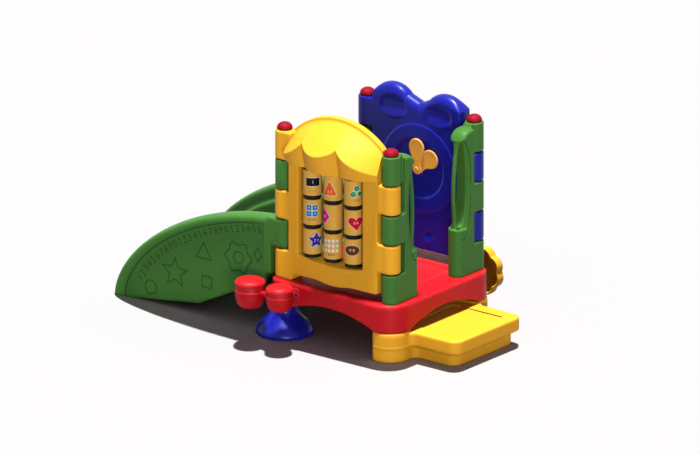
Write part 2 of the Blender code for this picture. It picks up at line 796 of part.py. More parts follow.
def make_hand(name, length, widest, degrees, front, material):
    """A clock hand in the X-Z plane, turned clockwise from straight up; front is its Y."""
    spots = [-HAND_HUB_RADIUS * math.cos(math.radians(15 * n)) for n in range(6)]
    bulb = length - widest
    spots += [bulb * n / 9 for n in range(9)]
    spots += [bulb + widest * math.sin(math.radians(11.25 * n)) for n in range(9)]
    right = [(hand_half_width(s, length, widest), s) for s in spots]
    left = [(-w, s) for w, s in reversed(right[1:-1])]
    turn = Matrix.Rotation(-math.radians(degrees), 2)
    outline = [turn @ Vector(point) for point in right + left]
    hand = prism(name, outline, "Y", 0, HAND_THICKNESS, material)
    hole = cylinder("hole", PIN_RADIUS + SLIP, -0.01, HAND_THICKNESS + 0.01, 12, "Y")
    combine(hand, cut=[hole])
    hand.location = (DIAL_X, front, DIAL_Z)
    return hand


def make_clock_hands(material, pin_material):
    hour_front = CLOCK_FACE - SPIN_GAP - HAND_THICKNESS
    minute_front = hour_front - SPIN_GAP - HAND_THICKNESS
    make_hand("hour_hand", HOUR_LENGTH, HOUR_HALF_WIDTH, HOUR_ANGLE, hour_front, material)
    make_hand("minute_hand", MINUTE_LENGTH, MINUTE_HALF_WIDTH, MINUTE_ANGLE, minute_front, material)
    head = minute_front - SPIN_GAP
    profile = [
        (0, head - PIN_HEAD_HEIGHT), (PIN_HEAD_RADIUS * 0.7, head - PIN_HEAD_HEIGHT),
        (PIN_HEAD_RADIUS, head - PIN_HEAD_HEIGHT * 0.4), (PIN_HEAD_RADIUS, head),
        (PIN_RADIUS, head), (PIN_RADIUS, CLOCK_FACE + PIN_DEPTH - SEAT_GAP),
        (0, CLOCK_FACE + PIN_DEPTH - SEAT_GAP),
    ]
    pin = turned("clock_pin", profile, 12, "Y", material=pin_material)
    pin.location = (DIAL_X, 0, DIAL_Z)


def entry_plan(start, reach, half):
    """A plan with a straight side at the post and a round end."""
    points = [Vector((-half, start)), Vector((half, start))]
    for step in range(11):
        angle = math.pi * step / 10
        points.append(Vector((half * math.cos(angle), reach - half + half * math.sin(angle))))
    return points


def make_entry_panel(name, post, side, material):
    """A narrow panel beside the entrance; side is the Y direction it reaches in."""
    half = PANEL_HALF_THICKNESS
    base = entry_plan(NOTCH, ENTRY_REACH, half)
    solid = prism(name, base, "Z", SEAT_GAP + WEB_STEP, ENTRY_SHOULDER + ENTRY_SHOULDER_LIP, material)
    upper = entry_plan(NOTCH + ENTRY_SHRINK, HOOD_REACH, half - ENTRY_SHRINK)
    rings = []
    soft = HOOD_ROUND
    start = ENTRY_TOP - soft
    for z, inset in ((ENTRY_SHOULDER, 0), (start, 0), (start + soft * 0.7, soft * 0.3), (ENTRY_TOP, soft)):
        rings.append([placed(p, z, "Z") for p in inset_outline(upper, inset)])
    hood = stack("hood", rings)
    past = ENTRY_REACH + 0.05
    above = ENTRY_TOP + 0.05
    centre = Vector((HOOD_REACH - HOOD_CORNER, ENTRY_TOP - HOOD_CORNER))
    corner = [Vector((past, centre.y)), Vector((past, above)), Vector((centre.x, above))]
    for step in range(6):
        angle = math.radians(90 - 18 * step)
        corner.append(centre + (HOOD_CORNER + 0.0007) * Vector((math.cos(angle), math.sin(angle))))
    opening = []
    for step in range(13):
        angle = math.pi * (0.5 + step / 12)
        opening.append(Vector((HANDHOLD_CENTRE + HANDHOLD_HALF_WIDTH * math.cos(angle),
                               HANDHOLD_CENTRE_Z + HANDHOLD_HALF_HEIGHT * math.sin(angle))))
    opening.append(Vector((past, opening[-1].y - 0.001)))
    opening.append(Vector((past, opening[0].y - 0.012)))
    combine(hood, cut=[prism("corner", corner, "X", -0.1, 0.1), prism("opening", opening, "X", -0.1, 0.1)])
    low = ENTRY_SHOULDER - 0.01
    high = HANDHOLD_CENTRE_Z + HANDHOLD_HALF_HEIGHT + 0.01
    rings = []
    for step in range(11):
        share = step / 10
        bow = math.sin(math.pi * share)
        across = BAR_FOOT + (BAR_HEAD - BAR_FOOT) * share
        across += (BAR_MIDDLE - (BAR_FOOT + BAR_HEAD) / 2) * bow
        radius = BAR_END_RADIUS + (BAR_RADIUS - BAR_END_RADIUS) * min(bow * 1.6, 1)
        height = low + (high - low) * share
        rings.append([Vector((p.x, across + p.y, height)) for p in ring_outline(radius, 12)])
    bar = stack("bar", rings)
    combine(solid, [hood, bar])
    if side < 0:
        solid.data.transform(Matrix.Diagonal((-1, -1, 1, 1)))
    moved(solid, (post.x, post.y, 0))
    webs, bores = panel_webs([(post, (0, side), (1, 3))], NOTCH + 0.012)
    webs.append(knuckle("top_knuckle", post, (0, side), LEVEL_COUNT, NOTCH + 0.012, HINGE_HALF))
    return combine(solid, webs, bores)


def wall_curve(start, drop=0.0, short=0.0, steps=22):
    """Points down the wall's top, from a distance behind the posts' line to the tip.
    The curve can run lower than the wall's own top, and end short of its tip."""
    tip = SLIDE_REACH - short
    rise = SLIDE_WALL_TOP - FLOOR - drop
    points = []
    for step in range(steps):
        distance = start + (tip - start) * math.sin(math.pi / 2 * step / steps)
        share = max((distance - SLIDE_CURVE_START) / (tip - SLIDE_CURVE_START), 0)
        height = rise * (1 - share ** SLIDE_CURVE_POWER) ** (1 / SLIDE_CURVE_POWER)
        points.append(Vector((-HALF - distance, FLOOR + height)))
    return points


def make_slide(material):
    start = NOTCH + 0.0015
    below = DECK_OVERHANG + SEAT_GAP
    lip = SEAT_GAP * 2
    tip = SLIDE_REACH

    def spot(distance, height):
        return Vector((-HALF - distance, height))

    knee = FLOOR + SLIDE_KNEE_LIFT
    underside = [
        spot(tip, FLOOR), spot(tip - SLIDE_PAD_LENGTH, FLOOR), spot(SLIDE_KNEE_X, knee),
        spot(SLIDE_HIP_X, -SLIDE_HIP_DROP), spot(below, -SLIDE_ROOT_DROP), spot(below, lip),
        spot(start, lip),
    ]
    rim = start + SLIDE_RIM
    recess = wall_curve(rim, SLIDE_RIM, SLIDE_TIP_RIM)
    recess += [spot(tip - SLIDE_TIP_RIM, FLOOR - 0.02), spot(rim, FLOOR - 0.02)]
    clear = BED_CLEARANCE
    liner = wall_curve(start + 0.03, SLIDE_LINER_DROP, SLIDE_LINER_DROP) + [
        spot(tip - SLIDE_LINER_DROP, FLOOR + BED_EXIT_LIFT), spot(SLIDE_KNEE_X, knee + 2 * clear),
        spot(SLIDE_HIP_X, -SLIDE_HIP_DROP + 2 * clear), spot(below + 0.002, -SLIDE_ROOT_DROP + 2 * clear),
        spot(below + 0.002, lip + 0.001), spot(start + 0.03, lip + 0.001),
    ]
    exit_end = tip - BED_EXIT_SETBACK
    section = rounded([
        (*spot(below, 0), 0), (*spot(below + BED_FLAT, 0), 0.12),
        (*spot(BED_KNEE_X, knee + BED_KNEE_THICKNESS), 0.30), (*spot(exit_end, FLOOR + BED_EXIT_LIFT), 0),
        (*spot(exit_end, FLOOR + clear), 0), (*spot(tip - SLIDE_PAD_LENGTH, FLOOR + clear), 0),
        (*spot(SLIDE_KNEE_X, knee + clear), 0), (*spot(SLIDE_HIP_X, -SLIDE_HIP_DROP + clear), 0),
        (*spot(below, -SLIDE_ROOT_DROP + clear), 0),
    ])
    inner = HALF - PANEL_HALF_THICKNESS
    bed = prism("slide", section, "Y", -inner - 0.028, inner + 0.028, material)
    joined = []
    cut = []
    soft = SLIDE_EDGE_ROUND
    for side, name in ((-1, "left"), (1, "back")):
        near = side * inner
        far = side * (inner + PANEL_THICKNESS)
        pivot = Vector((-HALF - start, side * HALF, 0))
        near_rings = []
        far_rings = []
        for depth, drop in ((0, 1), (0.3, 0.3), (1, 0)):
            outline = wall_curve(start, drop * soft, drop * soft) + underside
            near_rings.append([placed(p, near + side * depth * soft, "Y") for p in outline])
            far_rings.append([placed(p, far - side * depth * soft, "Y") for p in outline])
        slab = stack("wall", near_rings + far_rings[::-1])
        face = far - side * SLIDE_RECESS_DEPTH
        out = far + side * 0.02
        combine(slab, cut=[prism("recess", recess, "Y", min(face, out), max(face, out))])
        lining = side * (inner - SLIDE_LINER)
        inside = side * (inner + 0.02)
        strip = prism("liner", liner, "Y", min(lining, inside), max(lining, inside))
        for item in (slab, strip):
            joined.append(turned_about(item, pivot, SLIDE_FLARE_DEGREES * -side))
        webs, bores = panel_webs([(POSTS[name], (-1, 0), (2,))], start + 0.012)
        joined += webs
        cut += bores
    return combine(bed, joined, cut)


def drum_profile(radius, bottom, top):
    """A drum shell: narrow foot, round belly, bead, then a straight rim."""
    height = top - bottom
    profile = [(0, bottom), (radius * DRUM_TAPER * 0.9, bottom)]
    for share, width in ((0.05, DRUM_TAPER), (0.25, 0.83), (0.45, 0.93), (0.62, 0.975)):
        profile.append((radius * width, bottom + height * share))
    bead = bottom + height * 0.68
    profile += [(radius, bead - 0.002), (radius, bead + 0.004), (radius * 0.965, bead + 0.006)]
    profile += [(radius * 0.965, top), (0, top)]
    return profile


def head_profile(radius, low):
    profile = [(0, low), (radius, low), (radius, low + HEAD_RISE * 0.25)]
    for share, width in ((0.55, 0.93), (0.8, 0.78), (0.92, 0.6), (0.98, 0.35), (1.0, 0)):
        profile.append((radius * width, low + HEAD_RISE * share))
    return profile


def bolt_places():
    small_x = DRUM_FIRST_X + DRUM_SPACING
    return [small_x - BOLT_PITCH / 2, small_x + BOLT_PITCH / 2]


def bolt_holes():
    holes = []
    for x in bolt_places():
        hole = cylinder("hole", BOLT_RADIUS + SLIP, -DECK_HALF - 0.02, -DECK_HALF + BOLT_LENGTH, 10, "Y")
        holes.append(moved(hole, (x, 0, BRIDGE_Z)))
    axle = cylinder("hole", AXLE_RADIUS + SLIP, DECK_HALF - AXLE_DEPTH, DECK_HALF + 0.02, 12, "Y")
    holes.append(moved(axle, (WHEEL_X, 0, WHEEL_Z)))
    return holes


def make_bongos(material, head_material, bolt_material):
    y = -DECK_HALF - DRUM_OFFSET
    large = Vector((DRUM_FIRST_X, y, 0))
    small = Vector((DRUM_FIRST_X + DRUM_SPACING, y, 0))
    rim = DRUM_RIM_Z
    profile = drum_profile(LARGE_DRUM_RADIUS, LARGE_DRUM_BOTTOM, rim)
    shell = turned("bongo_shells", profile, DRUM_FACETS, material=material)
    moved(shell, large)
    second = turned("second", drum_profile(SMALL_DRUM_RADIUS, SMALL_DRUM_BOTTOM, rim), DRUM_FACETS)
    moved(second, small)
    bridge = turned("bridge", [
        (0, large.x), (BRIDGE_SMALL_RADIUS, large.x), (BRIDGE_SMALL_RADIUS, large.x + LARGE_DRUM_RADIUS),
        (BRIDGE_LARGE_RADIUS, small.x - SMALL_DRUM_RADIUS * 0.8), (BRIDGE_LARGE_RADIUS * 0.8, small.x),
        (0, small.x),
    ], 16, "X")
    moved(bridge, (0, y, BRIDGE_Z))
    seat = -DECK_HALF - SEAT_GAP
    arm = cylinder("arm", ARM_RADIUS, y, seat - FLANGE_THICKNESS / 2, 16, "Y")
    moved(arm, (small.x, 0, BRIDGE_Z))
    corners = []
    for across, up in ((-1, -1), (1, -1), (1, 1), (-1, 1)):
        x = small.x + across * FLANGE_WIDTH / 2
        corners.append((x, BRIDGE_Z + up * FLANGE_HEIGHT / 2, FLANGE_CORNER))
    flange = prism("flange", rounded(corners, 3), "Y", seat - FLANGE_THICKNESS, seat)
    cut = []
    for x in bolt_places():
        hole = cylinder("hole", BOLT_RADIUS + SLIP, seat - 0.05, seat + 0.01, 10, "Y")
        cut.append(moved(hole, (x, 0, BRIDGE_Z)))
    combine(shell, [second, bridge, arm, flange], cut)
    heads = (("bongo_head_large", large, LARGE_DRUM_RADIUS), ("bongo_head_small", small, SMALL_DRUM_RADIUS))
    for name, place, radius in heads:
        head = turned(name, head_profile(radius, rim + SEAT_GAP), DRUM_FACETS, material=head_material)
        head.location = place
    front = seat - FLANGE_THICKNESS - SEAT_GAP
    end = -DECK_HALF + BOLT_LENGTH - 0.002
    for number, x in enumerate(bolt_places(), 1):
        profile = [
            (0, front - BOLT_HEAD_HEIGHT), (BOLT_HEAD_RADIUS, front - BOLT_HEAD_HEIGHT),
            (BOLT_HEAD_RADIUS, front), (BOLT_RADIUS, front), (BOLT_RADIUS, end), (0, end),
        ]
        bolt = turned(f"bongo_bolt_{number}", profile, 6, "Y", material=bolt_material)
        bolt.location = (x, 0, BRIDGE_Z)


def wheel_outline(inset):
    points = []
    count = WHEEL_LOBES * 6
    for step in range(count):
        angle = math.tau * step / count
        lobe = abs(math.cos(WHEEL_LOBES / 2 * (angle - math.radians(WHEEL_PHASE))))
        radius = WHEEL_RADIUS + WHEEL_LOBE * (2 * lobe - 1) - inset
        points.append(Vector((radius * math.cos(angle), radius * math.sin(angle))))
    return points


def make_wheel(material, axle_material, cap_material):
    """A hollow-backed flower that spins on an axle fixed to the deck's side."""
    thick = WHEEL_THICKNESS
    edge = WHEEL_EDGE
    rings = [(0, 0), (thick - edge, 0), (thick - edge * 0.3, edge * 0.3), (thick, edge)]
    outer = [[placed(p, along, "Y") for p in wheel_outline(inset)] for along, inset in rings]
    wheel = stack("flower_wheel", outer, material)
    floor = thick - WHEEL_FACE
    hollow_rings = [(-0.01, WHEEL_WALL), (floor, WHEEL_WALL + 0.002)]
    inner = [[placed(p, along, "Y") for p in wheel_outline(inset)] for along, inset in hollow_rings]
    hollow = stack("hollow", inner)
    hub = cylinder("hub", WHEEL_HUB_RADIUS, 0.002, floor + 0.004, 16, "Y")
    bore = cylinder("bore", AXLE_RADIUS + SLIP, -0.02, thick + 0.02, 16, "Y")
    combine(wheel, cut=[hollow])
    combine(wheel, [hub], [bore])
    place = Vector((WHEEL_X, 0, WHEEL_Z))
    wheel.location = place + Vector((0, WHEEL_BACK, 0))
    seat = DECK_HALF + SEAT_GAP
    cap_low = WHEEL_BACK + thick + SPIN_GAP
    inside = DECK_HALF - AXLE_DEPTH + SEAT_GAP
    profile = [
        (0, inside), (AXLE_RADIUS, inside), (AXLE_RADIUS, seat),
        (AXLE_FLANGE_RADIUS, seat), (AXLE_FLANGE_RADIUS, seat + AXLE_FLANGE_THICKNESS),
        (AXLE_RADIUS, seat + AXLE_FLANGE_THICKNESS), (AXLE_RADIUS, cap_low + WHEEL_CAP_HEIGHT * 0.6),
        (0, cap_low + WHEEL_CAP_HEIGHT * 0.6),
    ]
    axle = turned("wheel_axle", profile, 16, "Y", material=axle_material)
    axle.location = place
    low = seat + AXLE_FLANGE_THICKNESS + SEAT_GAP
    high = WHEEL_BACK + 0.002 - SPIN_GAP
    bore_radius = AXLE_RADIUS + SLIP
    sleeve = WHEEL_SPACER_RADIUS
    profile = [(bore_radius, low), (sleeve, low), (sleeve, high), (bore_radius, high)]
    spacer = turned("wheel_spacer", profile, 16, "Y", closed=True, material=axle_material)
    spacer.location = place
    pocket = cap_low + WHEEL_CAP_HEIGHT * 0.6 + SEAT_GAP
    profile = [(0, pocket), (bore_radius, pocket), (bore_radius, cap_low), (WHEEL_CAP_RADIUS, cap_low)]
    for step in range(1, 4):
        angle = math.radians(30 * step)
        radius = WHEEL_CAP_RADIUS * math.cos(angle) if step < 3 else 0
        profile.append((radius, cap_low + WHEEL_CAP_HEIGHT * math.sin(angle)))
    cap = turned("wheel_cap", profile, 16, "Y", material=cap_material)
    cap.location = place


def set_origin():
    """Parents everything to an empty and puts the origin under the middle of the box."""
    bpy.context.view_layer.update()
    solids = [item for item in bpy.data.objects if item.type == "MESH"]
    corners = [item.matrix_world @ vertex.co for item in solids for vertex in item.data.vertices]
    low = Vector([min(c[axis] for c in corners) for axis in range(3)])
    high = Vector([max(c[axis] for c in corners) for axis in range(3)])
    frame = bpy.data.objects.new("play_structure", None)
    bpy.context.scene.collection.objects.link(frame)
    frame.location = (-(low.x + high.x) / 2, -(low.y + high.y) / 2, -low.z)
    for item in solids:
        item.parent = frame


def main():
    clear_scene()
    red = plastic("red_plastic", (215, 30, 40))
    dark_red = plastic("cap_plastic", (165, 0, 25), 0.35)
    yellow = plastic("yellow_plastic", (250, 195, 45))
    green = plastic("green_plastic", (75, 165, 60))
    blue = plastic("blue_plastic", (35, 40, 175), 0.25)
    tan = plastic("barrel_plastic", (205, 155, 75), 0.45)
    black = plastic("spacer_plastic", (20, 20, 20), 0.5)
    orange = plastic("orange_plastic", (220, 140, 35), 0.4)
    steel = plastic("steel", (190, 190, 195), 0.35, 1.0)

    make_deck(red)
    make_step_unit(yellow)
    make_foot("foot_left", POSTS["left"], blue)
    make_foot("foot_back", POSTS["back"], blue)
    for name, post in POSTS.items():
        make_post(f"post_{name}", post, steel)
        make_cap(f"cap_{name}", post, dark_red)
    for name in ("left", "back"):
        collar_ring(f"collar_{name}", POSTS[name], 4, green)
    make_number_panel(yellow)
    make_barrels(tan)
    make_spacers(black)
    make_rods(steel)
    make_clock_panel(blue)
    make_clock_hands(orange, orange)
    make_entry_panel("entry_panel_front", POSTS["front"], 1, green)
    make_entry_panel("entry_panel_right", POSTS["right"], -1, green)
    make_slide(green)
    make_bongos(red, red, steel)
    make_wheel(yellow, steel, red)
    set_origin()


main()
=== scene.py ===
import json
import math

import bmesh
import bpy
import numpy as np
from mathutils import Matrix, Vector

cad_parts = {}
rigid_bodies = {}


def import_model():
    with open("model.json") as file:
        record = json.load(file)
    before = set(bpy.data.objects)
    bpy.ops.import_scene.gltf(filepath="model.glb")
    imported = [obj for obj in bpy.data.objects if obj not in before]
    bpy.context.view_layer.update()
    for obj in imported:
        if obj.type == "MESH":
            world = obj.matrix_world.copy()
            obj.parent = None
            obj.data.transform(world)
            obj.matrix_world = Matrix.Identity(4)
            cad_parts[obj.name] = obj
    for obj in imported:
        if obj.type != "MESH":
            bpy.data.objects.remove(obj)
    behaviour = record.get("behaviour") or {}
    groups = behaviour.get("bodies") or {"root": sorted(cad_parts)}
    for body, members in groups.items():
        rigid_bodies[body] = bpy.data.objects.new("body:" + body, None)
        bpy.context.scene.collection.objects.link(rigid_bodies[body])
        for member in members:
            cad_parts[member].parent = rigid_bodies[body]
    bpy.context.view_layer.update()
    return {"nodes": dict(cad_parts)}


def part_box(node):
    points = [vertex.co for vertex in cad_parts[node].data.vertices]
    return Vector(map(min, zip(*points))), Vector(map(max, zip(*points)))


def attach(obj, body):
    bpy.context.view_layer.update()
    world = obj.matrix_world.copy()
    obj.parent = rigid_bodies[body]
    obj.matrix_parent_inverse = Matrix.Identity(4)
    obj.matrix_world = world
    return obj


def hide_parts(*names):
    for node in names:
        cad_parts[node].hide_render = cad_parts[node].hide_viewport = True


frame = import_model()
print("frame loaded")

# Everything is measured from the middle of the deck, with heights above its top
deckLow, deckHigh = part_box("deck")
origin = Vector(((deckLow.x + deckHigh.x) / 2, (deckLow.y + deckHigh.y) / 2, deckHigh.z))
floorZ = -origin.z
deckHalf = (deckHigh.x - deckLow.x) / 2
deckBottom = deckLow.z - origin.z
postLow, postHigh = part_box("post_front")
postHalf = (postLow.x + postHigh.x) / 2 - origin.x
postTop = postHigh.z - origin.z
posts = {
    "left": Vector((-postHalf, -postHalf)), "front": Vector((postHalf, -postHalf)),
    "right": Vector((postHalf, postHalf)), "back": Vector((-postHalf, postHalf)),
}
hairGap = 0.0003  # left between pieces that stand on each other
stackShape = {  # the knuckles stacked on each post, and the panels that hang between the posts
    "levels": 5, "gap": 0.006, "radius": 0.0485, "lip": 0.0035, "facets": 40, "notch": 0.0575,
    "panelThickness": 0.093,
}
levelHeight = postTop / stackShape["levels"]
panelHalf = stackShape["panelThickness"] / 2
panelEdge = postHalf - stackShape["notch"]

moulding = {
    "voxel": 0.0045, "deckVoxel": 0.0057, "entryVoxel": 0.0029, "clockVoxel": 0.0041, "slideVoxel": 0.0064,
    "quickFactor": 2.0,
}


# Outlines are lists of flat points, and solids are rings of them joined by faces
def roundedOutline(corners, steps=8):  # each corner is (x, y, radius)
    points = []
    for index, (x, y, radius) in enumerate(corners):
        here = Vector((x, y))
        if radius <= 0:
            points.append(here)
            continue
        back = (Vector(corners[index - 1][:2]) - here).normalized()
        ahead = (Vector(corners[(index + 1) % len(corners)][:2]) - here).normalized()
        halfAngle = back.angle(ahead) / 2
        reach = radius / math.tan(halfAngle)
        centre = here + (back + ahead).normalized() * radius / math.sin(halfAngle)
        first = here + back * reach - centre
        sweep = first.angle_signed(here + ahead * reach - centre)
        for step in range(steps + 1):
            points.append(centre + Matrix.Rotation(-sweep * step / steps, 2) @ first)
    return points


def insetOutline(outline, inset):  # moves an outline inwards, or outwards where inset is negative
    points = []
    for index, here in enumerate(outline):
        before = (here - outline[index - 1]).normalized()
        after = (outline[(index + 1) % len(outline)] - here).normalized()
        inward = Vector((-before.y - after.y, before.x + after.x)).normalized()
        points.append(here + inward * inset / max(inward.dot(Vector((-before.y, before.x))), 0.4))
    return points


def circleOutline(radius, facets):
    return [Vector((radius * math.cos(math.tau * n / facets), radius * math.sin(math.tau * n / facets)))
            for n in range(facets)]


def spot(point, across, axis):  # a flat point placed at a distance along an axis
    u, v = point
    return Vector({"X": (across, u, v), "Y": (u, across, v), "Z": (u, v, across)}[axis])


def addRings(bm, rings, closed=True):
    loops = [[bm.verts.new(point) for point in ring] for ring in rings]
    for lower, upper in zip(loops, loops[1:]):
        for index in range(len(lower)):
            after = (index + 1) % len(lower)
            bm.faces.new((lower[index], lower[after], upper[after], upper[index]))
    if closed:
        bm.faces.new(loops[0])
        bm.faces.new(loops[-1])


def addPrism(bm, outline, axis, low, high):
    addRings(bm, [[spot(p, low, axis) for p in outline], [spot(p, high, axis) for p in outline]])


def addBox(bm, low, high):
    outline = [(low[0], low[1]), (high[0], low[1]), (high[0], high[1]), (low[0], high[1])]
    addPrism(bm, outline, "Z", low[2], high[2])


def addLathe(bm, profile, facets, axis="Z", centre=(0, 0, 0), closed=False):  # turns (radius, along) points
    loops = []
    centre = Vector(centre)
    for radius, along in profile:
        if radius < 1e-9:
            loops.append([bm.verts.new(centre + spot((0, 0), along, axis))])
        else:
            loops.append([bm.verts.new(centre + spot(p, along, axis)) for p in circleOutline(radius, facets)])
    pairs = list(zip(loops, loops[1:])) + ([(loops[-1], loops[0])] if closed else [])
    for lower, upper in pairs:
        for index in range(facets):
            after = (index + 1) % facets
            corners = [lower[index % len(lower)], lower[after % len(lower)],
                       upper[after % len(upper)], upper[index % len(upper)]]
            bm.faces.new(list(dict.fromkeys(corners)))


def softProfile(points, radii, steps=3):  # rounds the inner corners of an open profile
    soft = [points[0]]
    radii = radii if isinstance(radii, list) else [radii] * len(points)
    for before, here, after, radius in zip(points, points[1:], points[2:], radii[1:]):
        a, b, c = Vector(before), Vector(here), Vector(after)
        reach = min(radius, (a - b).length * 0.45, (c - b).length * 0.45)
        start = b + (a - b).normalized() * reach
        end = b + (c - b).normalized() * reach
        for step in range(steps + 1):
            t = step / steps
            p = start * (1 - t) ** 2 + b * 2 * t * (1 - t) + end * t ** 2
            soft.append((p.x, p.y))
    return soft + [points[-1]]


def meshObject(name, bm, smooth=True, angle=40):
    bmesh.ops.recalc_face_normals(bm, faces=bm.faces)
    mesh = bpy.data.meshes.new(name)
    bm.to_mesh(mesh)
    bm.free()
    item = bpy.data.objects.new(name, mesh)
    bpy.context.scene.collection.objects.link(item)
    if smooth:
        mesh.shade_smooth()
        mesh.set_sharp_from_angle(angle=math.radians(angle))
    return item


def bakeModifiers(item):
    bpy.context.view_layer.update()
    mesh = bpy.data.meshes.new_from_object(item.evaluated_get(bpy.context.evaluated_depsgraph_get()))
    item.modifiers.clear()
    old = item.data
    item.data = mesh
    bpy.data.meshes.remove(old)
    return item


def cutAway(item, tools):  # cuts the tools' shapes out of the item
    for tool in tools:
        modifier = item.modifiers.new("cut", "BOOLEAN")
        modifier.operation = "DIFFERENCE"
        modifier.object = tool
    bakeModifiers(item)
    for tool in tools:
        bpy.data.objects.remove(tool, do_unlink=True)


def joined(items):
    bm = bmesh.new()
    for item in items:
        bm.from_mesh(item.data)
    for item in items[1:]:
        bpy.data.objects.remove(item, do_unlink=True)
    bm.to_mesh(items[0].data)
    bm.free()
    return items[0]


def moulded(item, voxel, rounds):  # fuses overlapping solids into one skin with softened edges
    remesh = item.modifiers.new("skin", "REMESH")
    remesh.mode = "VOXEL"
    remesh.voxel_size = voxel
    remesh.use_smooth_shade = True
    soften = item.modifiers.new("soften", "SMOOTH")
    soften.factor = 0.5
    soften.iterations = rounds
    return bakeModifiers(item)


# Relief is carved by moving the vertices of a finished skin
def softStep(value, low, high):
    t = np.clip((value - low) / (high - low), 0, 1)
    return t * t * (3 - 2 * t)


def rowsOf(items, key):  # one row of three numbers for each vertex or face
    values = np.empty(len(items) * 3, np.float32)
    items.foreach_get(key, values)
    return values.reshape(-1, 3).astype(float)


def lineDistance(points, line):  # how far each point is from a line of points
    best = np.full(len(points), 9.0)
    for a, b in zip(line, line[1:]):
        a, b = np.array(a[:2]), np.array(b[:2])
        along = b - a
        t = np.clip((points - a) @ along / max(along @ along, 1e-12), 0, 1)
        best = np.minimum(best, np.linalg.norm(points - a - t[:, None] * along, axis=1))
    return best


def insideOutline(points, outline):
    inside = np.zeros(len(points), bool)
    for a, b in zip(outline, list(outline[1:]) + [outline[0]]):
        crosses = (a[1] > points[:, 1]) != (b[1] > points[:, 1])
        with np.errstate(divide="ignore", invalid="ignore"):
            at = (b[0] - a[0]) * (points[:, 1] - a[1]) / (b[1] - a[1]) + a[0]
        inside ^= crosses & (points[:, 0] < at)
    return inside


def signedDistance(points, outline):  # positive inside the outline
    ring = list(outline) + [outline[0]]
    distance = lineDistance(points, ring)
    return np.where(insideOutline(points, outline), distance, -distance)


def carve(item, rule):  # rule(places, normals) gives a move for every vertex
    places, normals = rowsOf(item.data.vertices, "co"), rowsOf(item.data.vertices, "normal")
    places += rule(places, normals)
    item.data.vertices.foreach_set("co", places.astype(np.float32).ravel())
    item.data.update()


def markWear(item, gain):  # convex edges get a value near 1 in the wear attribute
    mesh = item.data
    places, normals = rowsOf(mesh.vertices, "co"), rowsOf(mesh.vertices, "normal")
    edges = np.empty(len(mesh.edges) * 2, np.int32)
    mesh.edges.foreach_get("vertices", edges)
    a, b = edges.reshape(-1, 2).T
    length = np.linalg.norm(places[a] - places[b], axis=1) + 1e-9
    bend = np.zeros(len(places))
    count = np.zeros(len(places))
    for here, there in ((a, b), (b, a)):
        np.add.at(bend, here, -((places[there] - places[here]) * normals[here]).sum(1) / length)
        np.add.at(count, here, 1)
    bend /= np.maximum(count, 1)
    for _ in range(2):
        spread = np.zeros(len(places))
        np.add.at(spread, a, bend[b])
        np.add.at(spread, b, bend[a])
        bend = 0.5 * bend + 0.5 * spread / np.maximum(count, 1)
    wear = np.clip(bend * gain, 0, 1)
    attribute = mesh.attributes.new("wear", "FLOAT", "POINT")
    attribute.data.foreach_set("value", wear.astype(np.float32))


surfaceShape = {"bounceShare": 0.3, "wornLift": 40, "wearGain": 6, "printWearGain": 3}


def linear(colour):  # 0 to 255 as it is seen, to what a shader takes
    return [((c / 255 + 0.055) / 1.055) ** 2.4 if c > 10 else c / 255 / 12.92 for c in colour] + [1.0]


def addSocket(tree, name, direction, kind, value=None):
    item = tree.interface.new_socket(name=name, in_out=direction, socket_type=kind)
    if value is not None:
        item.default_value = value


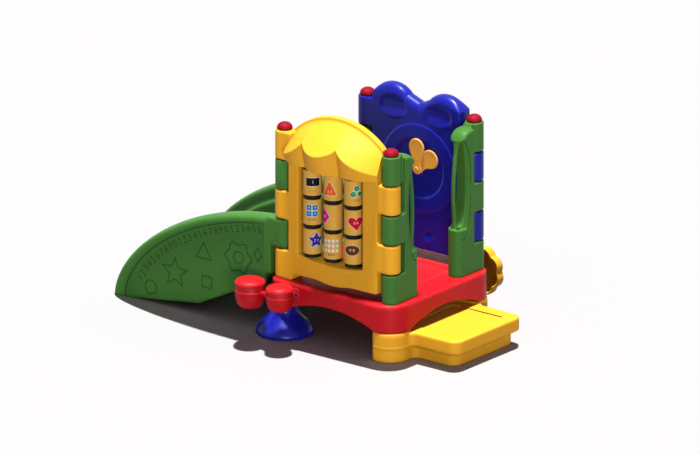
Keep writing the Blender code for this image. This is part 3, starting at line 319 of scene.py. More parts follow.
def buildMouldedSurface():  # plastic with a soft change of tone, rubbed edges, fine scratches and grain
    tree = bpy.data.node_groups.new("mouldedSurface", "ShaderNodeTree")
    for name, kind, value in (
            ("Colour", "NodeSocketColor", (0.8, 0.8, 0.8, 1)),
            ("Worn Colour", "NodeSocketColor", (1, 1, 1, 1)),
            ("Tone Spread", "NodeSocketFloat", 0.05), ("Wear", "NodeSocketFloat", 0.3),
            ("Scratches", "NodeSocketFloat", 0.2), ("Grain Size", "NodeSocketFloat", 0.003),
            ("Roughness", "NodeSocketFloat", 0.4), ("Roughness Spread", "NodeSocketFloat", 0.08)):
        addSocket(tree, name, "INPUT", kind, value)
    addSocket(tree, "Colour", "OUTPUT", "NodeSocketColor")
    addSocket(tree, "Roughness", "OUTPUT", "NodeSocketFloat")
    addSocket(tree, "Height", "OUTPUT", "NodeSocketFloat")
    nodes, links = tree.nodes, tree.links
    given = nodes.new("NodeGroupInput")
    made = nodes.new("NodeGroupOutput")
    spots = nodes.new("ShaderNodeTexCoord")

    def maths(kind, first, second=None, clamp=False):
        node = nodes.new("ShaderNodeMath")
        node.operation = kind
        node.use_clamp = clamp
        for index, value in enumerate((first, second)):
            if value is None:
                continue
            if isinstance(value, (int, float)):
                node.inputs[index].default_value = value
            else:
                links.new(value, node.inputs[index])
        return node.outputs[0]

    def noise(scale, detail=2.0, stretch=None, turn=None):
        node = nodes.new("ShaderNodeTexNoise")
        node.inputs["Detail"].default_value = detail
        place = spots.outputs["Object"]
        if stretch:
            mapping = nodes.new("ShaderNodeMapping")
            mapping.inputs["Scale"].default_value = stretch
            mapping.inputs["Rotation"].default_value = turn or (0, 0, 0)
            links.new(place, mapping.inputs["Vector"])
            place = mapping.outputs[0]
        links.new(place, node.inputs["Vector"])
        if isinstance(scale, (int, float)):
            node.inputs["Scale"].default_value = scale
        else:
            links.new(scale, node.inputs["Scale"])
        return node.outputs["Fac"]

    def ramp(value, low, high):
        node = nodes.new("ShaderNodeMapRange")
        node.inputs["From Min"].default_value = low
        node.inputs["From Max"].default_value = high
        links.new(value, node.inputs["Value"])
        return node.outputs[0]

    def mixColour(factor, first, second):
        node = nodes.new("ShaderNodeMix")
        node.data_type = "RGBA"
        links.new(factor, node.inputs[0])
        links.new(first, node.inputs[6])
        if isinstance(second, (tuple, list)):
            node.inputs[7].default_value = second
        else:
            links.new(second, node.inputs[7])
        return node.outputs[2]

    cloud = noise(5.0, 3.0)
    mottle = noise(38.0, 3.0)
    tone = maths("ADD", maths("MULTIPLY", ramp(cloud, 0.35, 0.65), 0.7),
                 maths("MULTIPLY", ramp(mottle, 0.3, 0.7), 0.3))
    change = maths("MULTIPLY", maths("SUBTRACT", tone, 0.5), given.outputs["Tone Spread"])
    shade = nodes.new("ShaderNodeHueSaturation")
    links.new(given.outputs["Colour"], shade.inputs["Color"])
    links.new(maths("ADD", change, 1.0), shade.inputs["Value"])
    edge = nodes.new("ShaderNodeAttribute")
    edge.attribute_name = "wear"
    rub = maths("MULTIPLY", edge.outputs["Fac"], ramp(noise(26.0, 4.0), 0.38, 0.68))
    rub = maths("MULTIPLY", rub, given.outputs["Wear"], clamp=True)
    lineA = ramp(noise(1.0, 1.0, (9, 240, 130), (0.3, 0.2, 0.5)), 0.705, 0.74)
    lineB = ramp(noise(1.0, 1.0, (210, 11, 150), (0.1, 0.5, -0.4)), 0.71, 0.745)
    patches = ramp(noise(4.0, 1.0), 0.45, 0.6)
    marks = maths("MULTIPLY", maths("MAXIMUM", lineA, lineB), patches)
    marks = maths("MULTIPLY", marks, given.outputs["Scratches"], clamp=True)
    colour = mixColour(maths("MAXIMUM", rub, marks), shade.outputs[0], given.outputs["Worn Colour"])
    links.new(colour, made.inputs["Colour"])
    grain = noise(maths("DIVIDE", 1.0, given.outputs["Grain Size"]), 2.0)
    rough = maths("SUBTRACT", ramp(mottle, 0.3, 0.7), 0.5)
    rough = maths("MULTIPLY", rough, given.outputs["Roughness Spread"])
    rough = maths("ADD", maths("ADD", given.outputs["Roughness"], rough), maths("MULTIPLY", rub, 0.12))
    links.new(rough, made.inputs["Roughness"])
    swell = maths("MULTIPLY", noise(60.0, 1.0), 0.5)
    height = maths("ADD", maths("MULTIPLY", grain, 0.5), swell)
    links.new(maths("SUBTRACT", height, maths("MULTIPLY", marks, 0.4)), made.inputs["Height"])
    return tree


mouldedSurface = buildMouldedSurface()


finishSockets = {
    "tone": "Tone Spread", "wear": "Wear", "scratches": "Scratches", "grain": "Grain Size",
    "roughness": "Roughness", "roughSpread": "Roughness Spread",
}


def finish(name, colour, **values):  # one material; the values are the group's inputs and the shader's own
    material = bpy.data.materials.new(name)
    material.use_nodes = True
    nodes, links = material.node_tree.nodes, material.node_tree.links
    shader = nodes["Principled BSDF"]
    group = nodes.new("ShaderNodeGroup")
    group.node_tree = mouldedSurface
    group.inputs["Colour"].default_value = linear(colour)
    group.inputs["Worn Colour"].default_value = linear(
        values.get("worn", [min(255, c + surfaceShape["wornLift"]) for c in colour]))
    for key, socket in finishSockets.items():
        if key in values:
            group.inputs[socket].default_value = values[key]
    spread = nodes.new("ShaderNodeMix")  # holds back the colour that pieces throw on each other
    spread.data_type = "RGBA"
    links.new(nodes.new("ShaderNodeLightPath").outputs["Is Diffuse Ray"], spread.inputs[0])
    links.new(group.outputs["Colour"], spread.inputs[6])
    spread.inputs[7].default_value = [c * surfaceShape["bounceShare"] for c in linear(colour)[:3]] + [1]
    links.new(spread.outputs[2], shader.inputs["Base Color"])
    links.new(group.outputs["Roughness"], shader.inputs["Roughness"])
    bump = nodes.new("ShaderNodeBump")
    bump.inputs["Strength"].default_value = values.get("bump", 0.25)
    bump.inputs["Distance"].default_value = values.get("depth", 0.0012)
    links.new(group.outputs["Height"], bump.inputs["Height"])
    links.new(bump.outputs["Normal"], shader.inputs["Normal"])
    shader.inputs["Metallic"].default_value = values.get("metallic", 0.0)
    shader.inputs["Coat Weight"].default_value = values.get("coat", 0.0)
    shader.inputs["Coat Roughness"].default_value = values.get("coatRoughness", 0.2)
    shader.inputs["Specular IOR Level"].default_value = values.get("specular", 0.35)
    return material


finishes = {
    "red": finish("redPlastic", (204, 18, 28), worn=(238, 84, 90), roughness=0.45, tone=0.07, scratches=0.25,
                  specular=0.2),
    "cap": finish("capPlastic", (142, 0, 24), worn=(175, 30, 50), roughness=0.6, tone=0.05, scratches=0.1,
                  specular=0.15),
    "yellow": finish("yellowPlastic", (254, 183, 44), worn=(255, 214, 110), roughness=0.52, tone=0.06,
                     scratches=0.2, specular=0.15),
    "green": finish("greenPlastic", (64, 120, 46), worn=(104, 162, 86), roughness=0.45, tone=0.07,
                    scratches=0.2, specular=0.17),
    # dark green painted as the shade of engraved lines, numerals and the groove round the entry openings
    "paintedGrooveShade": finish("engravedGreen", (42, 84, 34), worn=(60, 108, 50), roughness=0.6, tone=0.05,
                       specular=0.1),
    "blue": finish("bluePlastic", (20, 25, 148), worn=(46, 56, 185), roughness=0.36, tone=0.05, bump=0.05,
                   scratches=0.1, wear=0.15, coat=0.08, coatRoughness=0.12, specular=0.2),
    "orange": finish("orangePlastic", (245, 172, 62), worn=(255, 205, 130), roughness=0.42, tone=0.05,
                     wear=0.8),
    "tan": finish("barrelPlastic", (240, 180, 66), worn=(238, 192, 110), roughness=0.45, tone=0.08,
                  bump=0.35),
    # a thin dark strip on the step's tread edge, painted as the shadow of the tread's wall
    "shadowLine": finish("seamShadow", (34, 24, 8), worn=(60, 45, 20), roughness=0.8, tone=0.05, specular=0.1),
    "black": finish("blackPlastic", (10, 9, 9), worn=(36, 34, 32), roughness=0.6, tone=0.2, specular=0.15),
    "steel": finish("zincSteel", (176, 176, 182), worn=(205, 205, 210), roughness=0.34, tone=0.15,
                    metallic=1.0, grain=0.0015, scratches=0.5),
}
inks = {
    "white": (245, 245, 240), "black": (20, 20, 22), "orange": (250, 104, 18), "sea": (10, 150, 104),
    "sky": (16, 136, 214), "pink": (236, 10, 158), "red": (222, 14, 50), "violet": (66, 36, 158),
    "brown": (104, 60, 24),
}
for inkName, inkColour in inks.items():
    finishes["ink_" + inkName] = finish(
        "ink" + inkName.capitalize(), inkColour, worn=(225, 200, 160), roughness=0.6, tone=0.03, wear=0.0,
        scratches=0.12, bump=0.1, specular=0.08)
print("materials made")


def dress(item, *names, gain=surfaceShape["wearGain"]):  # marks the wear and gives the finishes
    markWear(item, gain)
    if item.data.materials:
        item.data.materials.clear()
    for name in names:
        item.data.materials.append(finishes[name])


def settle(item, body, slotName, *nodes):  # puts a finished piece in the frame's place
    item.data.transform(Matrix.Translation(origin))
    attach(item, body)
    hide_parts(*nodes)
    print("made", item.name, len(item.data.polygons))


def levelSpan(level):  # lower and upper end of a knuckle; level 1 stands on the deck
    low = (level - 1) * levelHeight + stackShape["gap"] / 2
    return (hairGap if level == 1 else low), level * levelHeight - stackShape["gap"] / 2


def addKnuckle(bm, post, direction, level, reach, halfWeb=panelHalf):  # a ring round the post with its web
    radius, facets, lip = stackShape["radius"], stackShape["facets"], stackShape["lip"]
    low, high = levelSpan(level)
    bend = math.asin(min(halfWeb / radius, 0.98))
    heading = math.atan2(direction[1], direction[0])
    outline = []
    for step in range(facets + 1):
        angle = heading + bend + (math.tau - 2 * bend) * step / facets
        outline.append(post + radius * Vector((math.cos(angle), math.sin(angle))))
    along = Vector(direction).normalized()
    side = Vector((-along.y, along.x)) * halfWeb
    outline += [post + along * reach - side, post + along * reach + side]
    rings = []
    for z, inset in ((low, lip), (low + lip, 0), (high - lip, 0), (high, lip)):
        rings.append([spot(p, z, "Z") for p in insetOutline(outline, inset)])
    addRings(bm, rings)


deckShape = {
    "cornerRadius": 0.127, "edgeRound": 0.016, "footRound": 0.003, "archWidth": 0.590, "archRise": 0.067,
    "archExtra": 0.03, "treadBorder": 0.076, "treadDepth": 0.0035,
}


def makeDeck():
    s = deckShape

    def outline(inset):
        h = deckHalf - inset
        r = s["cornerRadius"] - inset
        return roundedOutline([(-h, -h, r), (h, -h, r), (h, h, r), (-h, h, r)], 14)

    bm = bmesh.new()
    rings = [[spot(p, deckBottom, "Z") for p in outline(s["footRound"])],
             [spot(p, deckBottom + s["footRound"], "Z") for p in outline(0)]]
    for step in range(7):
        angle = math.radians(15 * step)
        inset = s["edgeRound"] * (1 - math.cos(angle))
        rings.append([spot(p, s["edgeRound"] * (math.sin(angle) - 1), "Z") for p in outline(inset)])
    addRings(bm, rings)
    deck = meshObject("deckShell", bm)
    radius = (s["archWidth"] ** 2 / 4 + s["archRise"] ** 2) / (2 * s["archRise"])
    halfAngle = math.asin(s["archWidth"] / 2 / radius)
    centre = deckBottom + s["archRise"] - radius
    turns = [halfAngle * (1 - n / 16) for n in range(33)]
    arch = [Vector((radius * math.sin(turn), centre + radius * math.cos(turn))) for turn in turns]
    arch += [Vector((side * s["archWidth"] / 2, deckBottom - s["archExtra"])) for side in (-1, 1)]
    tools = []
    for axis in "XY":
        bm = bmesh.new()
        addPrism(bm, arch, axis, -deckHalf - s["archExtra"], deckHalf + s["archExtra"])
        tools.append(meshObject("arch", bm, smooth=False))
    cutAway(deck, tools)
    moulded(deck, moulding["deckVoxel"], 4)
    tread = postHalf - s["treadBorder"]

    def rule(places, normals):  # the tread is a little lower than its border
        square = [(-tread, -tread), (tread, -tread), (tread, tread), (-tread, tread)]
        inside = signedDistance(places[:, :2], square)
        top = (normals[:, 2] > 0.7) * (places[:, 2] > -0.01)
        move = np.zeros_like(places)
        move[:, 2] = -s["treadDepth"] * softStep(inside, -0.001, 0.004) * top
        return move

    carve(deck, rule)
    dress(deck, "red")
    settle(deck, "frame", "red", "deck")


stepShape = {
    "height": 0.146, "width": 0.554, "reach": 0.288, "corner": 0.056, "fillet": 0.038, "undercut": 0.030,
    "footRound": 0.004, "lowerBand": 0.058, "chamfer": 0.018, "edge": 0.008, "padInset": 0.003,
    "padCorner": 0.104, "padInner": 0.040, "padSink": 0.03, "treadBorder": 0.066, "treadHalf": 0.190,
    "treadDepth": 0.004, "lineHeight": 0.076, "lineProud": 0.0012, "lineWidth": 0.0035,
    # the next four size a thin dark strip of painted shadow along the tread's far edge
    "shadowLineWidth": 0.005, "shadowLineBack": 0.05, "shadowLineSink": 0.012, "shadowLineLift": 0.0004,
}


def makeStep():
    s = stepShape
    inner = postHalf - (deckHalf - postHalf)
    outer = deckHalf - s["padInset"]
    end = deckHalf + s["reach"]
    top = floorZ + s["height"]
    band = floorZ + s["lowerBand"]

    def outline(inset, undercut):
        side = s["width"] / 2 - inset - undercut
        out = outer - inset
        big = s["padCorner"] - inset
        tip = end - inset - undercut
        return roundedOutline([
            (inner + inset, -out, s["padInner"]), (out, -out, big), (out, -side, s["fillet"]),
            (tip, -side, s["corner"]), (tip, side, s["corner"]), (out, side, s["fillet"]),
            (out, out, big), (inner + inset, out, s["padInner"]),
        ], 12)

    bm = bmesh.new()
    edge, footRound, undercut = s["edge"], s["footRound"], s["undercut"]
    levels = ((floorZ, footRound, undercut), (floorZ + footRound, 0, undercut), (band, 0, undercut),
              (band + s["chamfer"], 0, 0), (top - edge, 0, 0), (top - edge * 0.3, edge * 0.3, 0),
              (top, edge, 0))
    addRings(bm, [[spot(p, z, "Z") for p in outline(inset, under)] for z, inset, under in levels])
    low, high = inner + 0.001, outer - 0.001
    for side in (-1, 1):
        pad = roundedOutline([(low, side * low, s["padInner"]), (high, side * low, s["padInner"]),
                              (high, side * high, s["padCorner"]), (low, side * high, s["padInner"])], 12)
        addPrism(bm, pad, "Z", top - s["padSink"], deckBottom - hairGap)
    unit = moulded(meshObject("stepUnit", bm), moulding["voxel"], 4)
    tip = deckHalf + s["reach"] - s["treadBorder"]
    half = s["treadHalf"]

    def rule(places, normals):  # a lower tread, and a fine moulding line round the pads
        first = inner + s["treadBorder"]
        patch = [(first, -half), (tip, -half), (tip, half), (first, half)]
        inside = signedDistance(places[:, :2], patch)
        flat = (normals[:, 2] > 0.8) * (np.abs(places[:, 2] - top) < 0.006)
        fade = 1 - 0.5 * softStep(places[:, 0], deckHalf, tip)
        move = np.zeros_like(places)
        move[:, 2] = -s["treadDepth"] * fade * softStep(inside, -0.001, 0.0035) * flat
        side = np.maximum(np.abs(places[:, 1]) - s["width"] / 2, 0) > 0.004
        line = np.exp(-((places[:, 2] - floorZ - s["lineHeight"]) / s["lineWidth"]) ** 2)
        line = line * side * (np.abs(normals[:, 2]) < 0.3)
        move += normals * (s["lineProud"] * line)[:, None]
        return move

    carve(unit, rule)
    # the second finish is painted shadow: a thin dark strip along the tread's far edge, where the tread's
    # wall casts shade
    dress(unit, "yellow", "shadowLine")
    bm = bmesh.new()
    bm.from_mesh(unit.data)
    count = len(bm.faces)
    shadowLine, shadowLineStart, shadowLineEnd = s["shadowLineWidth"], deckHalf - s["shadowLineBack"], tip - 0.004
    line = [(shadowLineStart, half - shadowLine * 0.2), (shadowLineEnd, half - shadowLine), (shadowLineEnd, half + shadowLine * 0.6),
            (shadowLineStart, half + shadowLine * 0.4)]
    addPrism(bm, [Vector(p) for p in line], "Z", top - s["shadowLineSink"], top + s["shadowLineLift"])
    bmesh.ops.recalc_face_normals(bm, faces=bm.faces[count:])
    for face in bm.faces[count:]:
        face.material_index = 1
    bm.to_mesh(unit.data)
    bm.free()
    settle(unit, "frame", "yellow", "step_unit")


footShape = {"base": 0.148, "neck": 0.067, "rim": 0.010, "swell": 0.84, "edge": 0.003, "facets": 72}
capShape = {"radius": 0.0405, "rise": 0.034, "bead": 0.003, "stem": 0.014, "stemLength": 0.02, "lift": 0.0006,
            "edge": 0.002, "facets": 40}
collarShape = {"level": 4, "bore": 0.0196, "edge": 0.0035, "facets": 56}


def makeFeet():
    s = footShape
    top = deckBottom - hairGap
    height = top - floorZ
    edge = s["edge"]
    for name in ("left", "back"):
        bm = bmesh.new()
        profile = [(0, floorZ), (s["base"] - s["rim"], floorZ), (s["base"] - edge, floorZ + edge),
                   (s["base"], floorZ + s["rim"])]
        for step in range(1, 19):
            share = step / 18
            radius = s["neck"] + (s["base"] - s["neck"]) * (1 + math.cos(math.pi * share)) / 2
            profile.append((radius, floorZ + s["rim"] + height * s["swell"] * share))
        profile += [(s["neck"], top - edge), (s["neck"] - edge, top), (0, top)]
        post = posts[name]
        addLathe(bm, profile, s["facets"], centre=(post.x, post.y, 0))
        foot = meshObject("foot" + name.capitalize(), bm, angle=50)
        dress(foot, "blue")
        settle(foot, "frame", "blue", "foot_" + name)


def makeCapsAndCollars():
    s = capShape
    for name, post in posts.items():
        base = postTop + s["lift"]
        profile = [(0, base - s["stemLength"]), (s["stem"], base - s["stemLength"]), (s["stem"], base),
                   (s["radius"] - s["edge"], base), (s["radius"], base + s["edge"])]
        for step in range(1, 13):
            angle = math.radians(7.5 * step)
            profile.append((s["radius"] * math.cos(angle) if step < 12 else 0,
                            base + s["bead"] + (s["rise"] - s["bead"]) * math.sin(angle)))
        bm = bmesh.new()
        addLathe(bm, profile, s["facets"], centre=(post.x, post.y, 0))
        cap = meshObject("cap" + name.capitalize(), bm, angle=60)
        dress(cap, "cap")
        settle(cap, "frame", "cap_red", "cap_" + name)
    s = collarShape
    for name in ("left", "back"):
        low, high = levelSpan(s["level"])
        radius, bore = stackShape["radius"], s["bore"]
        profile = softProfile([(bore, low), (radius, low), (radius, high), (bore, high)], s["edge"])
        bm = bmesh.new()
        addLathe(bm, profile, s["facets"], centre=(posts[name].x, posts[name].y, 0), closed=True)
        collar = meshObject("collar" + name.capitalize(), bm)
        dress(collar, "green")
        settle(collar, "frame", "green", "collar_" + name)


panelShape = {
    "lift": 0.040, "belly": 0.013, "bellyWidth": 0.230, "footWidth": 0.022, "footArch": 0.030,
    "windowWidth": 0.415, "windowCentre": -0.015, "windowBottom": 0.155, "windowTop": 0.640,
    "sillSag": 0.026, "sillDepth": 0.09, "arcZ": 0.36, "arcRadius": 0.262, "arcTop": 0.135, "arcHalf": 0.2,
    "arcDeep": 0.0022, "arcWidth": 0.006,
    "awningBase": 0.650, "peak": 0.914, "archRadius": 0.417, "lipDepth": 0.038, "lipHeight": 0.020,
    "lipRound": 0.012, "eaveRound": 0.004, "tuckRound": 0.006, "pitch": 0.72, "tuck": 0.80, "crown": 0.010,
    "endReach": 0.070, "endPull": 0.039, "endDrop": 0.046, "bow": 0.070, "flare": 0.018, "cuspRise": 0.016,
    "lobe": 0.045, "lobeMiddle": -0.0235, "lobeHalf": 0.111, "endLobe": 0.74, "lobePower": 0.72,
}


def lobeAt(x, half):  # 1 in the middle of a scallop, 0 at the points between them
    p = panelShape
    aside = abs(x - p["lobeMiddle"])
    if aside < p["lobeHalf"]:
        return math.cos(math.pi / 2 * aside / p["lobeHalf"]) ** p["lobePower"]
    width = half + math.copysign(1, p["lobeMiddle"] - x) * p["lobeMiddle"] - p["lobeHalf"]
    return abs(math.sin(math.pi * p["endLobe"] * (aside - p["lobeHalf"]) / width)) ** p["lobePower"]


def awningMesh():  # sections from one end to the other, each a closed line from the wall over the eave
    s = panelShape
    half = panelEdge - 0.0015
    back = -postHalf + panelHalf - 0.001
    lip = back - s["lipDepth"]
    first, second = s["lobeMiddle"] - s["lobeHalf"], s["lobeMiddle"] + s["lobeHalf"]
    stations = [*np.linspace(-half, first, 15)[:-1], *np.linspace(first, second, 25)[:-1],
                *np.linspace(second, half, 15)]
    rings = []
    for x in stations:
        share = x / half
        arch = s["peak"] - s["archRadius"] + math.sqrt(s["archRadius"] ** 2 - x ** 2)
        lobe = lobeAt(x, half)
        ends = share ** 4  # 1 at the two ends, next to nothing over the middle lobe
        reach = s["endReach"] + s["bow"] * (1 - share ** 2) + s["lobe"] * lobe - s["endPull"] * ends
        eave = -postHalf - reach
        start = arch - s["lipHeight"]
        eaveZ = start - s["pitch"] * (lip - eave) + s["cuspRise"] * (1 - lobe) - s["endDrop"] * ends
        slope = []
        for step in range(1, 9):
            t = step / 9
            y = lip + (eave - lip) * t
            z = start + (eaveZ - start) * t + s["crown"] * math.sin(math.pi * t) * (0.5 + 0.5 * lobe)
            slope.append((y, z))
        base = s["awningBase"]
        section = [(-postHalf, base), (back, base), (back, arch), (lip, arch), (lip, start)] + slope
        section += [(eave, eaveZ), (-postHalf - reach * s["tuck"], base), (-postHalf, base)]
        radii = [s["lipRound"]] * (len(section) - 3) + [s["eaveRound"], s["tuckRound"], 0.001]
        flare = s["flare"] * share ** 3
        rings.append([Vector((x + flare * min(1, max(0, (-postHalf - y) / reach)), y, z))
                      for y, z in softProfile(section, radii, 3)[:-1]])
    for end, inward in ((0, 0.003), (-1, -0.003)):  # the two ends are closed with a small chamfer
        ring = rings[end]
        middle = sum(ring, Vector()) / len(ring)
        rings[end] = [p + Vector((inward, 0, 0)) for p in ring]
        rings.insert(0 if end == 0 else len(rings), [middle + (p - middle) * 0.97 for p in ring])
    bm = bmesh.new()
    addRings(bm, rings)
    bmesh.ops.remove_doubles(bm, verts=bm.verts, dist=1e-5)
    return meshObject("awning", bm, angle=38)


def makeNumberPanel():
    s = panelShape
    edge = panelEdge
    y = -postHalf
    low, high = y - panelHalf, y + panelHalf
    left, right = s["windowCentre"] - s["windowWidth"] / 2, s["windowCentre"] + s["windowWidth"] / 2
    bm = bmesh.new()
    belly = s["bellyWidth"] / 2
    foot = -edge + s["footWidth"]
    sill = roundedOutline([
        (-edge, 0.004, 0.004), (foot, 0.004, 0.006), (foot, s["lift"], s["footArch"]),
        (-belly, s["lift"], 0.06), (-belly / 3, s["lift"] - s["belly"], 0.06),
        (belly / 3, s["lift"] - s["belly"], 0.06), (belly, s["lift"], 0.06),
        (edge, s["lift"], 0.010), (edge, s["windowBottom"], 0), (-edge, s["windowBottom"], 0),
    ], 10)
    addPrism(bm, sill, "Y", low, high)
    addBox(bm, (-edge, low, s["windowBottom"] - 0.02), (left, high, s["awningBase"] + 0.03))
    addBox(bm, (right, low, s["windowBottom"] - 0.02), (edge, high, s["awningBase"] + 0.03))
    addBox(bm, (-edge, low, s["windowTop"]), (edge, high, s["awningBase"] + 0.05))
    for post, direction, levels in ((posts["left"], (1, 0), (1, 3, 5)), (posts["front"], (-1, 0), (2, 4))):
        for level in levels:
            addKnuckle(bm, post, direction, level, stackShape["notch"] + 0.015)
    panel = moulded(meshObject("numberPanel", bm), moulding["voxel"], 4)

    def rule(places, normals):  # a faint arc below the window, and a sill that falls away to the front
        x, z = places[:, 0], places[:, 2]
        aside = x - s["windowCentre"]
        arc = np.hypot(aside, z - s["arcZ"]) - s["arcRadius"]
        shown = (normals[:, 1] < -0.8) & (places[:, 1] < y) & (z < s["arcTop"]) & (np.abs(x) < s["arcHalf"])
        move = np.zeros_like(places)
        move[:, 1] = s["arcDeep"] * np.exp(-(arc / s["arcWidth"]) ** 2) * shown
        across = np.clip(1 - (aside / (s["windowWidth"] / 2)) ** 2, 0, 1)
        ahead = np.clip((y - places[:, 1]) / panelHalf, 0, 1)
        below = np.clip((z - s["windowBottom"]) / s["sillDepth"] + 1, 0, 1) * (z < s["windowBottom"] + 0.004)
        move[:, 2] = -s["sillSag"] * across * ahead * below
        return move

    carve(panel, rule)
    panel = joined([panel, awningMesh()])
    panel.data.shade_smooth()
    panel.data.set_sharp_from_angle(angle=math.radians(38))
    dress(panel, "yellow")
    settle(panel, "frame", "yellow", "number_panel")


barrelShape = {"bore": 0.0066, "edge": 0.003, "band": 0.012, "sink": 0.0008, "labelLift": 0.0004,
               "deep": 0.001, "strip": 0.004, "outline": 0.0022, "facets": 56}
# In mm on the skin: a motif is (kind, ink, across, up, sizes), a caption (ink, text, size, across, up)
barrelPrints = {
    "barrel_1_3": {"turn": -51, "motifs": [("box", "black", 0, 7, 74, 43)],
                   "captions": [("white", "1", 24, 0, 7), ("brown", "1 1 1", 18, 0, -42)]},
    "barrel_2_3": {"turn": -74, "motifs": [("triangle", "orange", 0, 2, 78, 78)],
                   "captions": [("white", "2 2", 20, 0, -18)]},
    "barrel_3_3": {"turn": -33,
                   "motifs": [("disc", "sea", x, y, 14) for x, y in ((0, 28), (-19, -3), (19, -3))],
                   "captions": [("white", "3", 15, 0, 28), ("white", "3", 15, -19, -3),
                                ("brown", "3 3 3", 18, 0, -36)]},
    "barrel_1_2": {"turn": -56, "motifs": [("box", "sky", x, y, 27, 27) for x in (-16, 16) for y in (27, -6)],
                   "captions": [("white", "4", 17, x, y) for x in (-16, 16) for y in (27, -6)]
                   + [("brown", "4 4 4", 18, 0, -38)]},
    "barrel_2_2": {"turn": -113, "motifs": [("diamond", "pink", 0, 3, 70, 86)],
                   "captions": [("white", "5 5", 20, 0, 3)]},
    "barrel_3_2": {"turn": -38, "motifs": [("heart", "red", 0, -2, 84, 80)],
                   "captions": [("white", "6 6", 20, 0, 0)]},
    "barrel_1_1": {"turn": -29, "motifs": [("star", "violet", 0, 8, 44, 22)],
                   "captions": [("white", "7 7", 20, 0, 6)]},
    "barrel_2_1": {"turn": -64,
                   "motifs": [("oval", "white", 22 * x - 33, 32 - 26 * y, 7.5, 9.5)
                              for y in range(3) for x in range(4)],
                   "captions": [("brown", "8 8 8", 18, 0, -42)]},
    "barrel_3_1": {"turn": -62, "motifs": [("oval", "brown", 0, 9, 40, 27)],
                   "captions": [("white", "9 9", 22, 0, 9)]},
}


def motifOutline(kind, sizes):  # sizes are width and height, or one or two radii
    w, h = sizes[0] / 2, sizes[-1] / 2
    corners = {
        "box": [(-w, -h, 2), (w, -h, 2), (w, h, 2), (-w, h, 2)],
        "triangle": [(-w, -h, 3), (w, -h, 3), (0, h, 3)],
        "diamond": [(0, -h, 2.5), (w, 0, 2.5), (0, h, 2.5), (-w, 0, 2.5)],
    }
    if kind in corners:
        return roundedOutline(corners[kind], 4)
    if kind == "disc":
        return circleOutline(sizes[0], 28)
    if kind == "oval":
        return [Vector((sizes[0] * p.x, sizes[1] * p.y)) for p in circleOutline(1, 36)]
    points = []
    if kind == "star":
        for n in range(10):
            angle = math.radians(90 + 36 * n)
            points.append((sizes[n % 2] * math.cos(angle), sizes[n % 2] * math.sin(angle), 1.0))
        return roundedOutline(points, 2)
    for n in range(40):  # heart
        t = math.tau * n / 40
        up = 13 * math.cos(t) - 5 * math.cos(2 * t) - 2 * math.cos(3 * t) - math.cos(4 * t)
        points.append(Vector((w * math.sin(t) ** 3, h / 16 * up + 2)))
    return points[::-1]


def numeralMesh(text, size, swell=0.0):  # flat numerals in Blender's own font
    curve = bpy.data.curves.new("numeral", "FONT")
    curve.body = text
    curve.size = size
    curve.align_x = "CENTER"
    curve.align_y = "CENTER"
    curve.resolution_u = 3
    curve.offset = swell
    item = bpy.data.objects.new("numeral", curve)
    bpy.context.scene.collection.objects.link(item)
    bpy.context.view_layer.update()
    mesh = bpy.data.meshes.new_from_object(item.evaluated_get(bpy.context.evaluated_depsgraph_get()))
    bpy.data.objects.remove(item, do_unlink=True)
    return mesh


def wrapFlat(flat, spotFor, strip, deep):  # cuts a flat shape into strips and lays it on a skin
    bmesh.ops.remove_doubles(flat, verts=flat.verts, dist=1e-6)
    at = min(v.co.x for v in flat.verts) + strip
    high = max(v.co.x for v in flat.verts)
    while at < high and strip > 0:
        parts = flat.verts[:] + flat.edges[:] + flat.faces[:]
        bmesh.ops.bisect_plane(flat, geom=parts, plane_co=(at, 0, 0), plane_no=(1, 0, 0))
        at += strip
    grown = bmesh.ops.extrude_face_region(flat, geom=flat.faces[:])
    raised = {item for item in grown["geom"] if isinstance(item, bmesh.types.BMVert)}
    for vertex in flat.verts:
        vertex.co = spotFor(vertex.co.x, vertex.co.y, 0.0 if vertex in raised else -deep)
    bmesh.ops.recalc_face_normals(flat, faces=flat.faces)


def appendFlat(bm, flat, slot):  # slot is the material index of the new faces
    mesh = bpy.data.meshes.new("flat")
    flat.to_mesh(mesh)
    flat.free()
    count = len(bm.faces)
    bm.from_mesh(mesh)
    bm.faces.ensure_lookup_table()
    for face in bm.faces[count:]:
        face.material_index = slot
    bpy.data.meshes.remove(mesh)


def flatFromOutline(outline, scale=1.0, shift=(0, 0)):
    flat = bmesh.new()
    flat.faces.new([flat.verts.new((p[0] * scale + shift[0], p[1] * scale + shift[1], 0)) for p in outline])
    bmesh.ops.triangulate(flat, faces=flat.faces)
    return flat


